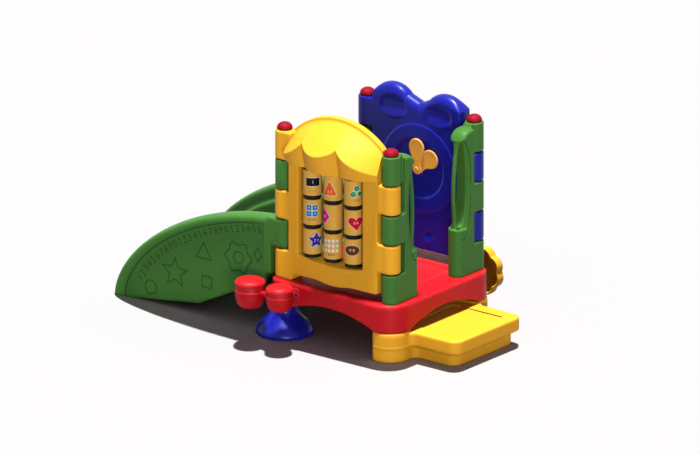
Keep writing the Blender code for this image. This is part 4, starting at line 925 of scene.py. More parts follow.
def makeBarrels():
    s = barrelShape
    for name, prints in barrelPrints.items():
        low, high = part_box(name)
        low, high = low - origin, high - origin
        centre = (low + high) / 2
        radius = (high.x - low.x) / 2
        bottom, top = low.z, high.z
        bore, band, skin = s["bore"], s["band"], radius - s["sink"]
        body = [(bore, bottom), (radius, bottom), (radius, bottom + band - 0.001), (skin, bottom + band),
                (skin, top - band), (radius, top - band + 0.001), (radius, top), (bore, top)]
        profile = softProfile(body, s["edge"])
        bm = bmesh.new()
        addLathe(bm, profile, s["facets"], centre=(centre.x, centre.y, 0), closed=True)
        item = meshObject(name.replace("barrel_", "numberBarrel"), bm)
        slots = ["tan", "ink_white"]
        bm = bmesh.new()
        bm.from_mesh(item.data)
        heading = math.radians(prints["turn"])

        def onSkin(lift):
            def place(across, up, depth):
                angle = heading + across / radius
                out = skin + lift + depth
                return centre + Vector((out * math.cos(angle), out * math.sin(angle), up))
            return place

        def addPrint(flat, layer, slotName):
            if slotName not in slots:
                slots.append(slotName)
            wrapFlat(flat, onSkin(s["labelLift"] * layer), s["strip"], s["deep"])
            appendFlat(bm, flat, slots.index(slotName))

        for kind, ink, across, up, *sizes in prints["motifs"]:
            outline = motifOutline(kind, sizes)
            shift = (across / 1000, up / 1000)
            if ink != "white":  # a white border below the coloured shape
                border = insetOutline(outline, -s["outline"] * 1000)
                addPrint(flatFromOutline(border, 0.001, shift), 1, "ink_white")
            addPrint(flatFromOutline(outline, 0.001, shift), 1.8, "ink_" + ink)
        for ink, text, size, across, up in prints["captions"]:
            flat = bmesh.new()
            flat.from_mesh(numeralMesh(text, size / 1000))
            for vertex in flat.verts:
                vertex.co.x += across / 1000
                vertex.co.y += up / 1000
            addPrint(flat, 2.6, "ink_" + ink)
        bm.to_mesh(item.data)
        bm.free()
        item.data.shade_smooth()
        item.data.set_sharp_from_angle(angle=math.radians(40))
        dress(item, *slots, gain=surfaceShape["printWearGain"])
        settle(item, name.replace("barrel_", "barrel_body_"), "barrel", name)


discShape = {"radius": 0.0445, "bore": 0.0068, "edge": 0.0015, "columns": 3, "rows": 4, "facets": 44}


def buildDiscRows():  # repeats one column of discs
    tree = bpy.data.node_groups.new("discRows", "GeometryNodeTree")
    addSocket(tree, "Geometry", "INPUT", "NodeSocketGeometry")
    addSocket(tree, "Columns", "INPUT", "NodeSocketInt", 3)
    addSocket(tree, "Column Pitch", "INPUT", "NodeSocketFloat", 0.132)
    addSocket(tree, "Finish", "INPUT", "NodeSocketMaterial")
    addSocket(tree, "Geometry", "OUTPUT", "NodeSocketGeometry")
    nodes, links = tree.nodes, tree.links
    given = nodes.new("NodeGroupInput")
    made = nodes.new("NodeGroupOutput")
    line = nodes.new("GeometryNodeMeshLine")
    step = nodes.new("ShaderNodeCombineXYZ")
    place = nodes.new("GeometryNodeInstanceOnPoints")
    real = nodes.new("GeometryNodeRealizeInstances")
    paint = nodes.new("GeometryNodeSetMaterial")
    links.new(given.outputs["Columns"], line.inputs["Count"])
    links.new(given.outputs["Column Pitch"], step.inputs["X"])
    links.new(step.outputs[0], line.inputs["Offset"])
    links.new(line.outputs[0], place.inputs["Points"])
    links.new(given.outputs["Geometry"], place.inputs["Instance"])
    links.new(place.outputs[0], real.inputs[0])
    links.new(real.outputs[0], paint.inputs["Geometry"])
    links.new(given.outputs["Finish"], paint.inputs["Material"])
    links.new(paint.outputs[0], made.inputs["Geometry"])
    return tree


def makeDiscs():
    s = discShape
    firstLow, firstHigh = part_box("spacer_1_1")
    secondLow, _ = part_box("spacer_2_1")
    centre = (firstLow + firstHigh) / 2 - origin
    bm = bmesh.new()
    for row in range(s["rows"]):
        low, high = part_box(f"spacer_1_{row + 1}")
        low, high = low.z - origin.z, high.z - origin.z
        body = [(s["bore"], low), (s["radius"], low), (s["radius"], high), (s["bore"], high)]
        profile = softProfile(body, s["edge"])
        addLathe(bm, profile, s["facets"], centre=(centre.x, centre.y, 0), closed=True)
    discs = meshObject("blackDiscs", bm)
    tree = buildDiscRows()
    modifier = discs.modifiers.new("rows", "NODES")
    modifier.node_group = tree
    values = {"Columns": s["columns"], "Column Pitch": secondLow.x - firstLow.x, "Finish": finishes["black"]}
    for socket in tree.interface.items_tree:
        if socket.in_out == "INPUT" and socket.name in values:
            modifier[socket.identifier] = values[socket.name]
    bakeModifiers(discs)
    discs.data.set_sharp_from_angle(angle=math.radians(40))
    dress(discs, "black")
    names = [f"spacer_{column + 1}_{row + 1}" for column in range(s["columns"]) for row in range(s["rows"])]
    settle(discs, "frame", "black", *names)


clockShape = {
    "lift": 0.047, "earRadius": 0.142, "earX": 0.168, "earZ": 0.752, "rim": 0.056, "sideRim": 0.15,
    "rimFrom": 0.70, "rimOver": 0.08, "rimSide": 0.05, "valley": 0.821, "valleyX": 0.012,
    "valleySlope": (0.37, 0.50), "valleyHalf": 0.060, "valleyFall": 1.5, "valleySoft": 0.004,
    "dishX": 0.145, "dishZ": 0.776, "dishHalf": 0.090, "dishBelow": 0.062, "dishAbove": 0.074,
    "dish": (-0.007, 0.014),
    "dialX": 0.024, "dialZ": 0.481, "dialRadius": 0.238, "dialBand": 0.076, "dialProud": 0.006,
    "dialSunk": 0.008,
    "arcs": ((0.045, 0.004), (0.150, 0.005)), "arcDeep": 0.0012,  # radius and width of fine lines
    "dimpleX": 0.084, "dimpleZ": 0.130, "dimpleHalf": 0.034, "dimpleHeight": 0.040, "dimple": (-0.006, 0.010),
}


def clockTop(x):  # two round ears, softly joined to the valley between them
    s = clockShape
    aside = abs(x) - s["earX"]
    ear = s["earZ"] + math.sqrt(max(s["earRadius"] ** 2 - aside ** 2, 0))
    soft = s["valleySoft"]
    notch = s["valley"] + s["valleySlope"][x > s["valleyX"]] * abs(x - s["valleyX"])
    notch -= s["valleyFall"] * max(abs(x) - s["valleyHalf"], 0)
    larger = max(ear, notch)
    blend = math.exp((ear - larger) / soft) + math.exp((notch - larger) / soft)
    return larger + soft * (math.log(blend) - math.log(2) * math.exp(-abs(ear - notch) / soft))


def makeClockPanel():
    s = clockShape
    outline = [Vector((-panelEdge, s["lift"])), Vector((panelEdge, s["lift"]))]
    for step in range(91):
        x = panelEdge * (1 - step / 45)
        outline.append(Vector((x, clockTop(x))))
    bm = bmesh.new()
    rings = []
    for step in range(13):
        angle = math.pi * step / 12
        along = postHalf - panelHalf * math.cos(angle)
        inset = s["rim"] * (1 - math.sin(angle) ** 0.8)
        ring = []
        for p, deep in zip(outline, insetOutline(outline, inset)):  # round ears, nearly square sides
            upper = min(max((p.y - s["rimFrom"]) / s["rimOver"], 0), 1)
            upper *= min((panelEdge - abs(p.x)) / s["rimSide"], 1)
            ring.append(p.lerp(deep, s["sideRim"] * (1 - upper) + upper))
        for corner in ring[:2]:
            corner.y = s["lift"]
        rings.append([spot(p, along, "Y") for p in ring])
    addRings(bm, rings)
    for post, direction, levels in ((posts["back"], (1, 0), (1, 3, 5)), (posts["right"], (-1, 0), (2, 4))):
        for level in levels:
            addKnuckle(bm, post, direction, level, stackShape["notch"] + 0.02)
    panel = moulded(meshObject("clockPanel", bm), moulding["clockVoxel"], 4)

    def rule(places, normals):
        front = softStep(-normals[:, 1], 0.2, 0.7) * (places[:, 1] < postHalf)
        x, z = places[:, 0], places[:, 2]
        move = np.zeros_like(places)
        r = np.hypot(x - s["dialX"], z - s["dialZ"])
        ring = softStep(s["dialRadius"] - r, 0.0, 0.009)
        centre = softStep(s["dialRadius"] - s["dialBand"] - r, 0.0, 0.009)
        move[:, 1] -= (s["dialProud"] * ring - s["dialSunk"] * centre) * front
        for side in (-1, 1):  # a dish in each ear
            u = (x - side * s["dishX"]) / s["dishHalf"]
            v = (z - s["dishZ"]) / np.where(z < s["dishZ"], s["dishBelow"], s["dishAbove"])
            dish = softStep(1 - u ** 2 - v ** 2, 0, 0.4) * np.interp(v, (-1, 0.35, 1), (*s["dish"], 0))
            clear = softStep(r, s["dialRadius"] - 0.004, s["dialRadius"] + 0.006)
            move[:, 1] += dish * front * clear
        u, v = (x - s["dimpleX"]) / s["dimpleHalf"], (z - s["dimpleZ"]) / s["dimpleHeight"]
        dimple = softStep(1 - u ** 2 - v ** 2, 0, 0.3) * np.interp(v, (-1, 0.4, 1), (*s["dimple"], 0))
        move[:, 1] += dimple * front
        for at, width in s["arcs"]:
            arc = np.exp(-((r - at) / width) ** 2) * (z < s["dialZ"] - 0.01)
            move[:, 1] -= s["arcDeep"] * arc * front
        return move

    carve(panel, rule)
    dress(panel, "blue")
    settle(panel, "frame", "blue", "clock_panel")


handShape = {
    "hub": 0.028, "waist": 0.024, "bevel": 0.0035,
    "minute": {"length": 0.162, "half": 0.047, "turn": -2.0},
    "hour": {"length": 0.147, "half": 0.050, "turn": 50.0},
}


def handHalfWidth(along, length, widest):  # a round hub, a waist and a wider bulb at the tip
    hub, waist = handShape["hub"], handShape["waist"]
    bulb = length - widest
    if along < 0:
        return math.sqrt(max(hub ** 2 - along ** 2, 0))
    if along > bulb:
        return widest * math.sqrt(max(1 - ((along - bulb) / widest) ** 2, 0))
    if along < hub:
        share = along / hub
        return hub + (waist - hub) * share * share * (3 - 2 * share)
    share = (along - hub) / (bulb - hub)
    return waist + (widest - waist) * share * share * (3 - 2 * share)


def makeHands():
    s = handShape
    dial = Vector((clockShape["dialX"], clockShape["dialZ"]))
    for name in ("minute", "hour"):
        low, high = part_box(name + "_hand")
        back, face = high.y - origin.y, low.y - origin.y
        length, widest = s[name]["length"], s[name]["half"]
        bulb = length - widest
        spots = [-s["hub"] * math.cos(math.radians(9 * n)) for n in range(10)]
        spots += [bulb * n / 18 for n in range(18)]
        spots += [bulb + widest * math.sin(math.radians(6 * n)) for n in range(16)]
        right = [(handHalfWidth(at, length, widest), at) for at in spots]
        left = [(-w, at) for w, at in reversed(right[1:-1])]
        turn = Matrix.Rotation(-math.radians(s[name]["turn"]), 2)
        outline = [turn @ Vector(p) for p in right + left]
        bevel = s["bevel"]
        levels = ((back, 0.001), (back - 0.001, 0), (face + bevel, 0), (face + bevel * 0.55, bevel * 0.15),
                  (face + bevel * 0.2, bevel * 0.5), (face, bevel), (face + 0.0004, bevel + 0.004))
        rings = [[spot(dial + p, along, "Y") for p in insetOutline(outline, inset)]
                 for along, inset in levels]
        bm = bmesh.new()
        addRings(bm, rings)
        hand = meshObject(name + "Hand", bm, angle=50)
        dress(hand, "orange")
        settle(hand, name + "_hand_body", "orange", name + "_hand")


entryShape = {
    "reach": 0.186, "top": 0.777, "shoulder": 0.240, "lip": 0.014, "hoodReach": 0.160, "hoodCorner": 0.080,
    "hoodRound": 0.020, "pocketReach": 0.146, "pocketLift": 0.004, "pocketSize": (0.037, 0.032, 0.030),
    "openCentre": 0.144, "openZ": 0.493, "openHalf": 0.035, "openHeight": 0.2235,
    "flareHalf": 0.028, "flareZ": -0.031, "flareHeight": 0.0405, "sink": 0.018,
    "groove": 0.0045, "grooveWidth": 0.0040, "grooveShade": 0.0024,
    "barMiddle": 0.172, "barFoot": 0.158, "barHead": 0.140, "barRadius": 0.0115, "barEnd": 0.021,
    "hinge": 0.026,
}


def entrySolid(post, side):  # a base with a pocket, a hood with an opening, the grab bar and the knuckles
    s = entryShape
    half = panelHalf
    start = stackShape["notch"]
    bm = bmesh.new()
    plan = [Vector((-half, start)), Vector((half, start))]
    for step in range(25):
        angle = math.pi * step / 24
        plan.append(Vector((half * math.cos(angle), s["reach"] - half + half * math.sin(angle))))
    top = s["shoulder"] + s["lip"]
    rings = [[spot(p, z, "Z") for p in insetOutline(plan, inset)]
             for z, inset in ((0.0013, 0), (top - 0.006, 0), (top - 0.002, 0.002), (top, 0.006))]
    addRings(bm, rings)
    base = meshObject("entryBase", bm, smooth=False)
    bm = bmesh.new()
    bmesh.ops.create_uvsphere(bm, u_segments=28, v_segments=16, radius=1.0)
    placed = Matrix.Translation((0, s["pocketReach"], top + s["pocketLift"]))
    bmesh.ops.transform(bm, matrix=placed @ Matrix.Diagonal((*s["pocketSize"], 1)), verts=bm.verts)
    cutAway(base, [meshObject("pocket", bm, smooth=False)])

    hoodStart = start + 0.0008
    bottom = s["shoulder"] - 0.12
    outline = roundedOutline([(hoodStart, bottom, 0), (s["hoodReach"], bottom, 0),
                              (s["hoodReach"], s["top"], s["hoodCorner"]), (hoodStart, s["top"], 0.004)], 14)
    bm = bmesh.new()
    rings = []
    for step in range(15):
        angle = math.pi * step / 14
        x = -half * math.cos(angle)
        ring = insetOutline(outline, s["hoodRound"] * (1 - math.sin(angle) ** 0.75))
        for corner, p in zip(outline, ring):
            p.x = corner.x if corner.x < hoodStart + 0.005 else max(p.x, hoodStart)
        rings.append([spot(p, x, "X") for p in ring])
    addRings(bm, rings)
    hood = meshObject("hood", bm, smooth=False)
    bm = bmesh.new()
    rings = []
    sink = s["sink"]
    for x in (-half - 0.004, -half, sink - half, half - sink, half, half + 0.004):
        t = max(abs(x) - half + sink, 0) / sink
        wide, tall = s["openHalf"] + s["flareHalf"] * t, s["openHeight"] + s["flareHeight"] * t
        ring = []
        for step in range(21):
            angle = math.pi * (0.5 + step / 20)
            ring.append(spot((s["openCentre"] + wide * math.cos(angle),
                              s["openZ"] + s["flareZ"] * t + tall * math.sin(angle)), x, "X"))
        rings.append(ring + [Vector((x, s["reach"] + 0.06, end.z)) for end in (ring[-1], ring[0])])
    addRings(bm, rings)
    cutAway(hood, [meshObject("opening", bm, smooth=False)])

    bm = bmesh.new()
    low, high = s["shoulder"] - 0.012, s["openZ"] + s["openHeight"] + 0.012
    rings = []
    for step in range(29):
        share = step / 28
        bow = math.sin(math.pi * share)
        across = s["barFoot"] + (s["barHead"] - s["barFoot"]) * share
        across += (s["barMiddle"] - (s["barFoot"] + s["barHead"]) / 2) * bow ** 0.9
        swell = max(0, 1 - bow * 2.2) ** 1.5
        radius = s["barRadius"] + (s["barEnd"] - s["barRadius"]) * swell
        z = low + (high - low) * share
        rings.append([Vector((p.x, across + p.y * 0.9, z)) for p in circleOutline(radius, 20)])
    addRings(bm, rings)
    for level in (1, 3):
        addKnuckle(bm, Vector((0, 0)), (0, 1), level, start + 0.02)
    addKnuckle(bm, Vector((0, 0)), (0, 1), stackShape["levels"], start + 0.002, s["hinge"])
    item = joined([base, hood, meshObject("bar", bm, smooth=False)])
    item.name = "entryPanel"
    if side < 0:
        item.data.transform(Matrix.Diagonal((-1, -1, 1, 1)))
    item.data.transform(Matrix.Translation((post.x, post.y, 0)))
    return item


def crease(panel, post, side):  # a fine groove round the opening on both faces, with its shade
    s = entryShape
    wide, tall = s["openHalf"] + s["flareHalf"], s["openHeight"] + s["flareHeight"]
    turns = [math.radians(degrees) for degrees in range(84, 277, 3)]
    rim = [Vector((s["openCentre"] + wide * math.cos(turn), s["openZ"] + s["flareZ"] + tall * math.sin(turn)))
           for turn in turns]

    def fromRim(places):
        return lineDistance(np.stack([(places[:, 1] - post.y) * side, places[:, 2]], axis=1), rim)

    def rule(places, normals):
        groove = s["groove"] * np.exp(-(fromRim(places) / s["grooveWidth"]) ** 2)
        return -normals * (groove * (np.abs(normals[:, 0]) > 0.5))[:, None]

    carve(panel, rule)
    dress(panel, "green", "paintedGrooveShade")
    # faces along the groove take the dark green: painted shade
    centres, normals = rowsOf(panel.data.polygons, "center"), rowsOf(panel.data.polygons, "normal")
    shades = (fromRim(centres) < s["grooveShade"]) & (np.abs(normals[:, 0]) > 0.3)
    panel.data.polygons.foreach_set("material_index", shades.astype(np.int32))


def makeEntryPanels():
    for name, side in (("front", 1), ("right", -1)):
        panel = moulded(entrySolid(posts[name], side), moulding["entryVoxel"], 3)
        panel.name = "entryPanel" + name.capitalize()
        crease(panel, posts[name], side)
        settle(panel, "frame", "green", "entry_panel_" + name)


slideShape = {
    "reach": 1.053, "wallTop": 0.315, "power": 1.79, "curveStart": 0.023, "flare": 1.27,
    "kneeX": 0.526, "kneeLift": 0.054, "hipX": 0.277, "hipDrop": 0.130, "rootDrop": 0.051, "padLength": 0.110,
    "rim": 0.043, "tipRim": 0.060, "edgeRound": 0.034, "tipRound": 0.35, "recess": 0.014, "rimStart": 0.070,
    "liner": 0.012, "linerDrop": 0.086, "linerStart": 0.03, "seat": 0.0006, "clear": 0.003,
    "bedKneeX": 0.560, "bedKnee": 0.021, "bedFlat": 0.048, "exitLift": 0.020, "exitSetback": 0.034,
}
slideStart = stackShape["notch"] + 0.0015  # where the walls begin, out from the posts' centres


def wallCurve(start, drop=0.0, short=0.0, steps=72):  # a wall's top edge, lowered by drop and cut short
    s = slideShape
    tip = s["reach"] - short
    rise = s["wallTop"] - floorZ - drop
    points = []
    for step in range(steps):
        distance = start + (tip - start) * math.sin(math.pi / 2 * step / steps)
        share = max((distance - s["curveStart"]) / (tip - s["curveStart"]), 0)
        height = rise * (1 - share ** s["power"]) ** (1 / s["power"])
        points.append(Vector((-postHalf - distance, floorZ + height)))
    return points


engraveShape = {  # places are metres out from the post's centre and up from the deck
    "numerals": "12345678901234567890123456", "size": 0.055, "thin": 0.0007,
    "arc": (0.110, 0.900), "arcDrop": 0.082, "arcShort": 0.128,
    "line": 0.0056, "lift": 0.0007, "deep": 0.0012,
    "rimLine": (0.0035, 0.0085), "rimLift": 0.003, "rimDeep": 0.003,
    "motifs": [("circle", 0.825, -0.222, 0.036), ("star", 0.672, -0.112, 0.080),
               ("triangle", 0.490, 0.028, 0.046), ("square", 0.470, -0.122, 0.036),
               ("flower", 0.270, 0.050, 0.086), ("diamond", 0.146, 0.088, 0.030)],
}


def engravedLine(kind, size):
    if kind == "circle":
        return [circleOutline(size, 28)]
    if kind == "flower":
        petals = [p * (0.88 + 0.12 * math.cos(6 * math.atan2(p.y, p.x))) for p in circleOutline(size, 72)]
        return [petals, circleOutline(size * 0.36, 24)]
    if kind == "star":
        points = [(size * (1 if n % 2 == 0 else 0.45), math.radians(90 + 36 * n)) for n in range(10)]
        return [[Vector((r * math.cos(a), r * math.sin(a))) for r, a in points]]
    turn, count = {"triangle": (90, 3), "square": (45, 4), "diamond": (0, 4)}[kind]
    squeeze = 0.7 if kind == "diamond" else 1.0
    corners = [math.radians(turn + 360 * n / count) for n in range(count)]
    return [[Vector((size * 1.2 * squeeze * math.cos(a), size * 1.2 * math.sin(a))) for a in corners]]


def rimLine(shift):  # the recess's edge, moved inwards by shift
    s = slideShape
    return wallCurve(slideStart + s["rim"] + s["rimStart"], s["rim"] + shift, s["tipRim"] + shift, 120)


def engrave(slide, turns):  # thin lines and plain numerals on the walls' outer faces, in dark green as painted shade of engraving
    s = engraveShape
    bm = bmesh.new()
    bm.from_mesh(slide.data)
    path = [Vector((-p.x - postHalf, p.y)) for p in wallCurve(slideStart, s["arcDrop"], s["arcShort"], 160)]
    path = [p for p in path if s["arc"][0] <= p.x <= s["arc"][1]]
    lengths = [0.0]
    for a, b in zip(path, path[1:]):
        lengths.append(lengths[-1] + (b - a).length)
    for side, turn in turns.items():
        face = side * (postHalf + panelHalf - slideShape["recess"])

        def place(out, up, depth):
            return turn @ Vector((-postHalf - out, face + side * (s["lift"] + depth), up))

        count = len(s["numerals"])
        for index, numeral in enumerate(s["numerals"]):
            at = lengths[-1] * (index + 0.5) / count
            at = lengths[-1] - at if side < 0 else at
            hit = min(max(sum(length < at for length in lengths), 1), len(path) - 1)
            share = (at - lengths[hit - 1]) / (lengths[hit] - lengths[hit - 1])
            middle = path[hit - 1].lerp(path[hit], share)
            reading = (path[hit] - path[hit - 1]).normalized() * side
            rise = Vector((-reading.y, reading.x)) * side
            flat = bmesh.new()
            flat.from_mesh(numeralMesh(numeral, s["size"], -s["thin"]))

            def onWall(across, up, depth):
                p = middle + reading * across + rise * up
                return place(p.x, p.y, depth)

            wrapFlat(flat, onWall, 0, s["deep"])
            appendFlat(bm, flat, 1)
        # a dark band along the recess's edge, painted as the rim's shadow
        rings = []
        for a, b in zip(*(rimLine(shift) for shift in s["rimLine"])):
            section = ((a, -s["rimDeep"]), (a, s["rimLift"]), (b, 0), (b, -s["rimDeep"]))
            rings.append([place(-p.x - postHalf, p.y, depth) for p, depth in section])
        loop = bmesh.new()
        addRings(loop, rings)
        bmesh.ops.recalc_face_normals(loop, faces=loop.faces)
        appendFlat(bm, loop, 1)
        for kind, out, up, size in s["motifs"]:
            for line in engravedLine(kind, size):
                rings = []
                for shift, depth in ((-1, -s["deep"]), (-1, 0), (1, 0), (1, -s["deep"]), (-1, -s["deep"])):
                    rings.append([place(out - side * p.x, up + p.y, depth)
                                  for p in insetOutline(line, shift * s["line"] / 2)])
                loop = bmesh.new()
                addRings(loop, rings, closed=False)
                bmesh.ops.remove_doubles(loop, verts=loop.verts, dist=1e-6)
                bmesh.ops.recalc_face_normals(loop, faces=loop.faces)
                appendFlat(bm, loop, 1)
    bm.to_mesh(slide.data)
    bm.free()


def makeSlide():
    s = slideShape
    start = slideStart
    below = deckHalf - postHalf + hairGap
    tip = s["reach"]
    knee = floorZ + s["kneeLift"]

    def at(distance, height):
        return Vector((-postHalf - distance, height))

    underside = [at(tip, floorZ), at(tip - s["padLength"], floorZ), at(s["kneeX"], knee),
                 at(s["hipX"], -s["hipDrop"]), at(below, -s["rootDrop"]), at(below, s["seat"]),
                 at(start, s["seat"])]
    clear = s["clear"]
    exitEnd = tip - s["exitSetback"]
    section = roundedOutline([
        (*at(below, 0), 0), (*at(below + s["bedFlat"], 0), 0.12),
        (*at(s["bedKneeX"], knee + s["bedKnee"]), 0.30),
        (*at(exitEnd, floorZ + s["exitLift"]), 0), (*at(exitEnd, floorZ + clear), 0),
        (*at(tip - s["padLength"], floorZ + clear), 0), (*at(s["kneeX"], knee + clear), 0),
        (*at(s["hipX"], -s["hipDrop"] + clear), 0), (*at(below, -s["rootDrop"] + clear), 0),
    ], 24)
    inner = postHalf - panelHalf
    bm = bmesh.new()
    addPrism(bm, section, "Y", -inner - 0.028, inner + 0.028)
    liner = wallCurve(start + s["linerStart"], s["linerDrop"], s["linerDrop"]) + [
        at(tip - s["linerDrop"], floorZ + s["exitLift"]), at(s["kneeX"], knee + 2 * clear),
        at(s["hipX"], -s["hipDrop"] + 2 * clear), at(below + 0.002, -s["rootDrop"] + 2 * clear),
        at(below + 0.002, s["seat"] + 0.001), at(start + s["linerStart"], s["seat"] + 0.001)]
    soft = s["edgeRound"]
    turns = {}
    for side, name in ((-1, "left"), (1, "back")):
        pivot = Matrix.Translation((-postHalf - start, side * postHalf, 0))
        turn = pivot @ Matrix.Rotation(math.radians(s["flare"] * -side), 4, "Z") @ pivot.inverted()
        rings = []
        for step in range(15):
            angle = math.pi * step / 14
            along = side * (postHalf - panelHalf * math.cos(angle))
            drop = soft * (1 - math.sin(angle) ** 0.7)
            ring = wallCurve(start, drop, drop * s["tipRound"]) + underside
            rings.append([turn @ spot(p, along, "Y") for p in ring])
        addRings(bm, rings)
        addRings(bm, [[turn @ spot(p, side * along, "Y") for p in liner]
                      for along in (inner - s["liner"], inner + 0.02)])
        addKnuckle(bm, posts[name], (-1, 0), 2, start + 0.02)
        turns[side] = turn
    slide = moulded(meshObject("slideShell", bm), moulding["slideVoxel"], 3)
    rimStart = start + s["rim"]
    recess = wallCurve(rimStart, s["rim"], s["tipRim"])
    recess += [at(tip - s["tipRim"], floorZ - 0.05), at(rimStart, floorZ - 0.05)]

    def rule(places, normals):  # the walls' outer faces are sunk inside their rims
        inside = signedDistance(places[:, [0, 2]], recess)
        depth = s["recess"] * softStep(inside, -0.002, 0.005)
        move = np.zeros_like(places)
        for side in (-1, 1):
            out = places[:, 1] * side - postHalf
            facing = normals[:, 1] * side
            under = np.clip((out - 0.004) / (panelHalf - 0.012), 0, 1) * (facing > -0.2)
            outer = np.where(facing > 0.8, 1, under)
            move[:, 1] -= side * depth * outer * (out > 0)
        return move

    carve(slide, rule)
    # the second finish, dark green, is painted shade for the engraved lines, numerals and rim line
    dress(slide, "green", "paintedGrooveShade")
    engrave(slide, turns)
    settle(slide, "frame", "green", "slide")


drumShape = {
    "offset": 0.099, "spacing": 0.190, "firstX": -0.426, "rimZ": -0.010, "headRise": 0.030,
    "headEdge": 0.0015, "headSkirt": 0.0085, "taper": 0.70, "belly": 0.55, "beadAt": 0.70,
    "large": {"radius": 0.079, "bottom": -0.131}, "small": {"radius": 0.071, "bottom": -0.113},
    "bridgeZ": -0.049, "bridgeSmall": 0.013, "bridgeLarge": 0.034, "flangeWidth": 0.100,
    "flangeHeight": 0.060, "flangeThickness": 0.008, "flangeCorner": 0.012, "arm": 0.022, "facets": 64,
}


def makeBongos():
    s = drumShape
    y = -deckHalf - s["offset"]
    places = {"large": (s["firstX"], y), "small": (s["firstX"] + s["spacing"], y)}
    bm = bmesh.new()
    for name, (x, _) in places.items():
        radius, bottom = s[name]["radius"], s[name]["bottom"]
        height = s["rimZ"] - bottom
        profile = [(0, bottom), (radius * s["taper"] * 0.9, bottom)]
        for step in range(12):
            t = step / 11
            swell = s["taper"] + (0.985 - s["taper"]) * math.sin(math.pi / 2 * t) ** s["belly"]
            profile.append((radius * swell, bottom + height * (0.01 + 0.65 * t)))
        bead = bottom + height * s["beadAt"]
        profile += [(radius * 0.99, bead - 0.004), (radius, bead - 0.002), (radius, bead + 0.002),
                    (radius * 0.975, bead + 0.004), (radius * 0.965, bead + 0.006),
                    (radius * 0.965, s["rimZ"]), (0, s["rimZ"])]
        addLathe(bm, profile, s["facets"], centre=(x, y, 0))
    largeX, smallX = places["large"][0], places["small"][0]
    first, last = largeX + s["large"]["radius"], smallX - s["small"]["radius"] * 0.8
    bridge = [(0, largeX + 0.02), (s["bridgeSmall"], largeX + 0.02), (s["bridgeSmall"], first)]
    for step in range(1, 9):
        t = step / 8
        radius = s["bridgeSmall"] + (s["bridgeLarge"] - s["bridgeSmall"]) * t ** 1.4
        bridge.append((radius, first + (last - first) * t))
    bridge += [(s["bridgeLarge"] * 0.8, smallX), (0, smallX)]
    addLathe(bm, bridge, 40, "X", centre=(0, y, s["bridgeZ"]))
    seat, arm = -deckHalf - hairGap, s["arm"]
    armProfile = [(0, y), (arm, y), (arm, seat - 0.016), (arm + 0.005, seat - 0.009),
                  (arm + 0.012, seat - 0.004), (0, seat - 0.004)]
    addLathe(bm, armProfile, 40, "Y", centre=(smallX, 0, s["bridgeZ"]))
    w, h = s["flangeWidth"] / 2, s["flangeHeight"] / 2
    corners = [(smallX + across * w, s["bridgeZ"] + up * h, s["flangeCorner"])
               for across, up in ((-1, -1), (1, -1), (1, 1), (-1, 1))]
    outline = roundedOutline(corners, 6)
    thick = s["flangeThickness"]
    rings = [[spot(p, along, "Y") for p in insetOutline(outline, inset)]
             for along, inset in ((seat, 0), (seat - thick + 0.0015, 0), (seat - thick, 0.0015))]
    addRings(bm, rings)
    shells = meshObject("bongoShells", bm)
    dress(shells, "red")
    settle(shells, "frame", "red", "bongo_shells")
    for name, (x, _) in places.items():
        radius = s[name]["radius"]
        low = s["rimZ"] + hairGap
        skirt = low + s["headSkirt"]
        edge = s["headEdge"]
        profile = [(0, low), (radius - 0.001, low), (radius, low + edge), (radius, skirt - edge),
                   (radius - edge, skirt)]
        for step in range(1, 13):
            angle = math.radians(7.5 * step)
            out = (radius - edge) * math.cos(angle) ** 0.92 if step < 12 else 0
            profile.append((out, skirt + (low + s["headRise"] - skirt) * math.sin(angle)))
        bm = bmesh.new()
        addLathe(bm, profile, s["facets"], centre=(x, y, 0))
        head = meshObject("bongoHead" + name.capitalize(), bm, angle=45)
        dress(head, "red")
        settle(head, "frame", "red", "bongo_head_" + name)


wheelShape = {
    "radius": 0.125, "lobe": 0.0065, "lobes": 8, "phase": 27.0, "edge": 0.012, "wall": 0.013, "face": 0.012,
    "bore": 0.0097, "hub": 0.026, "capRadius": 0.030, "capHeight": 0.012, "capStem": 0.0076, "capEdge": 0.001,
}


def wheelRing(inset, roundness):  # the flower's outline; with roundness 1 it is a plain circle
    s = wheelShape
    points = []
    count = s["lobes"] * 14
    for step in range(count):
        angle = math.tau * step / count
        wave = 2 * abs(math.cos(s["lobes"] / 2 * (angle - math.radians(s["phase"])))) - 1
        radius = s["radius"] + s["lobe"] * wave * (1 - roundness) - inset
        points.append(Vector((radius * math.cos(angle), radius * math.sin(angle))))
    return points


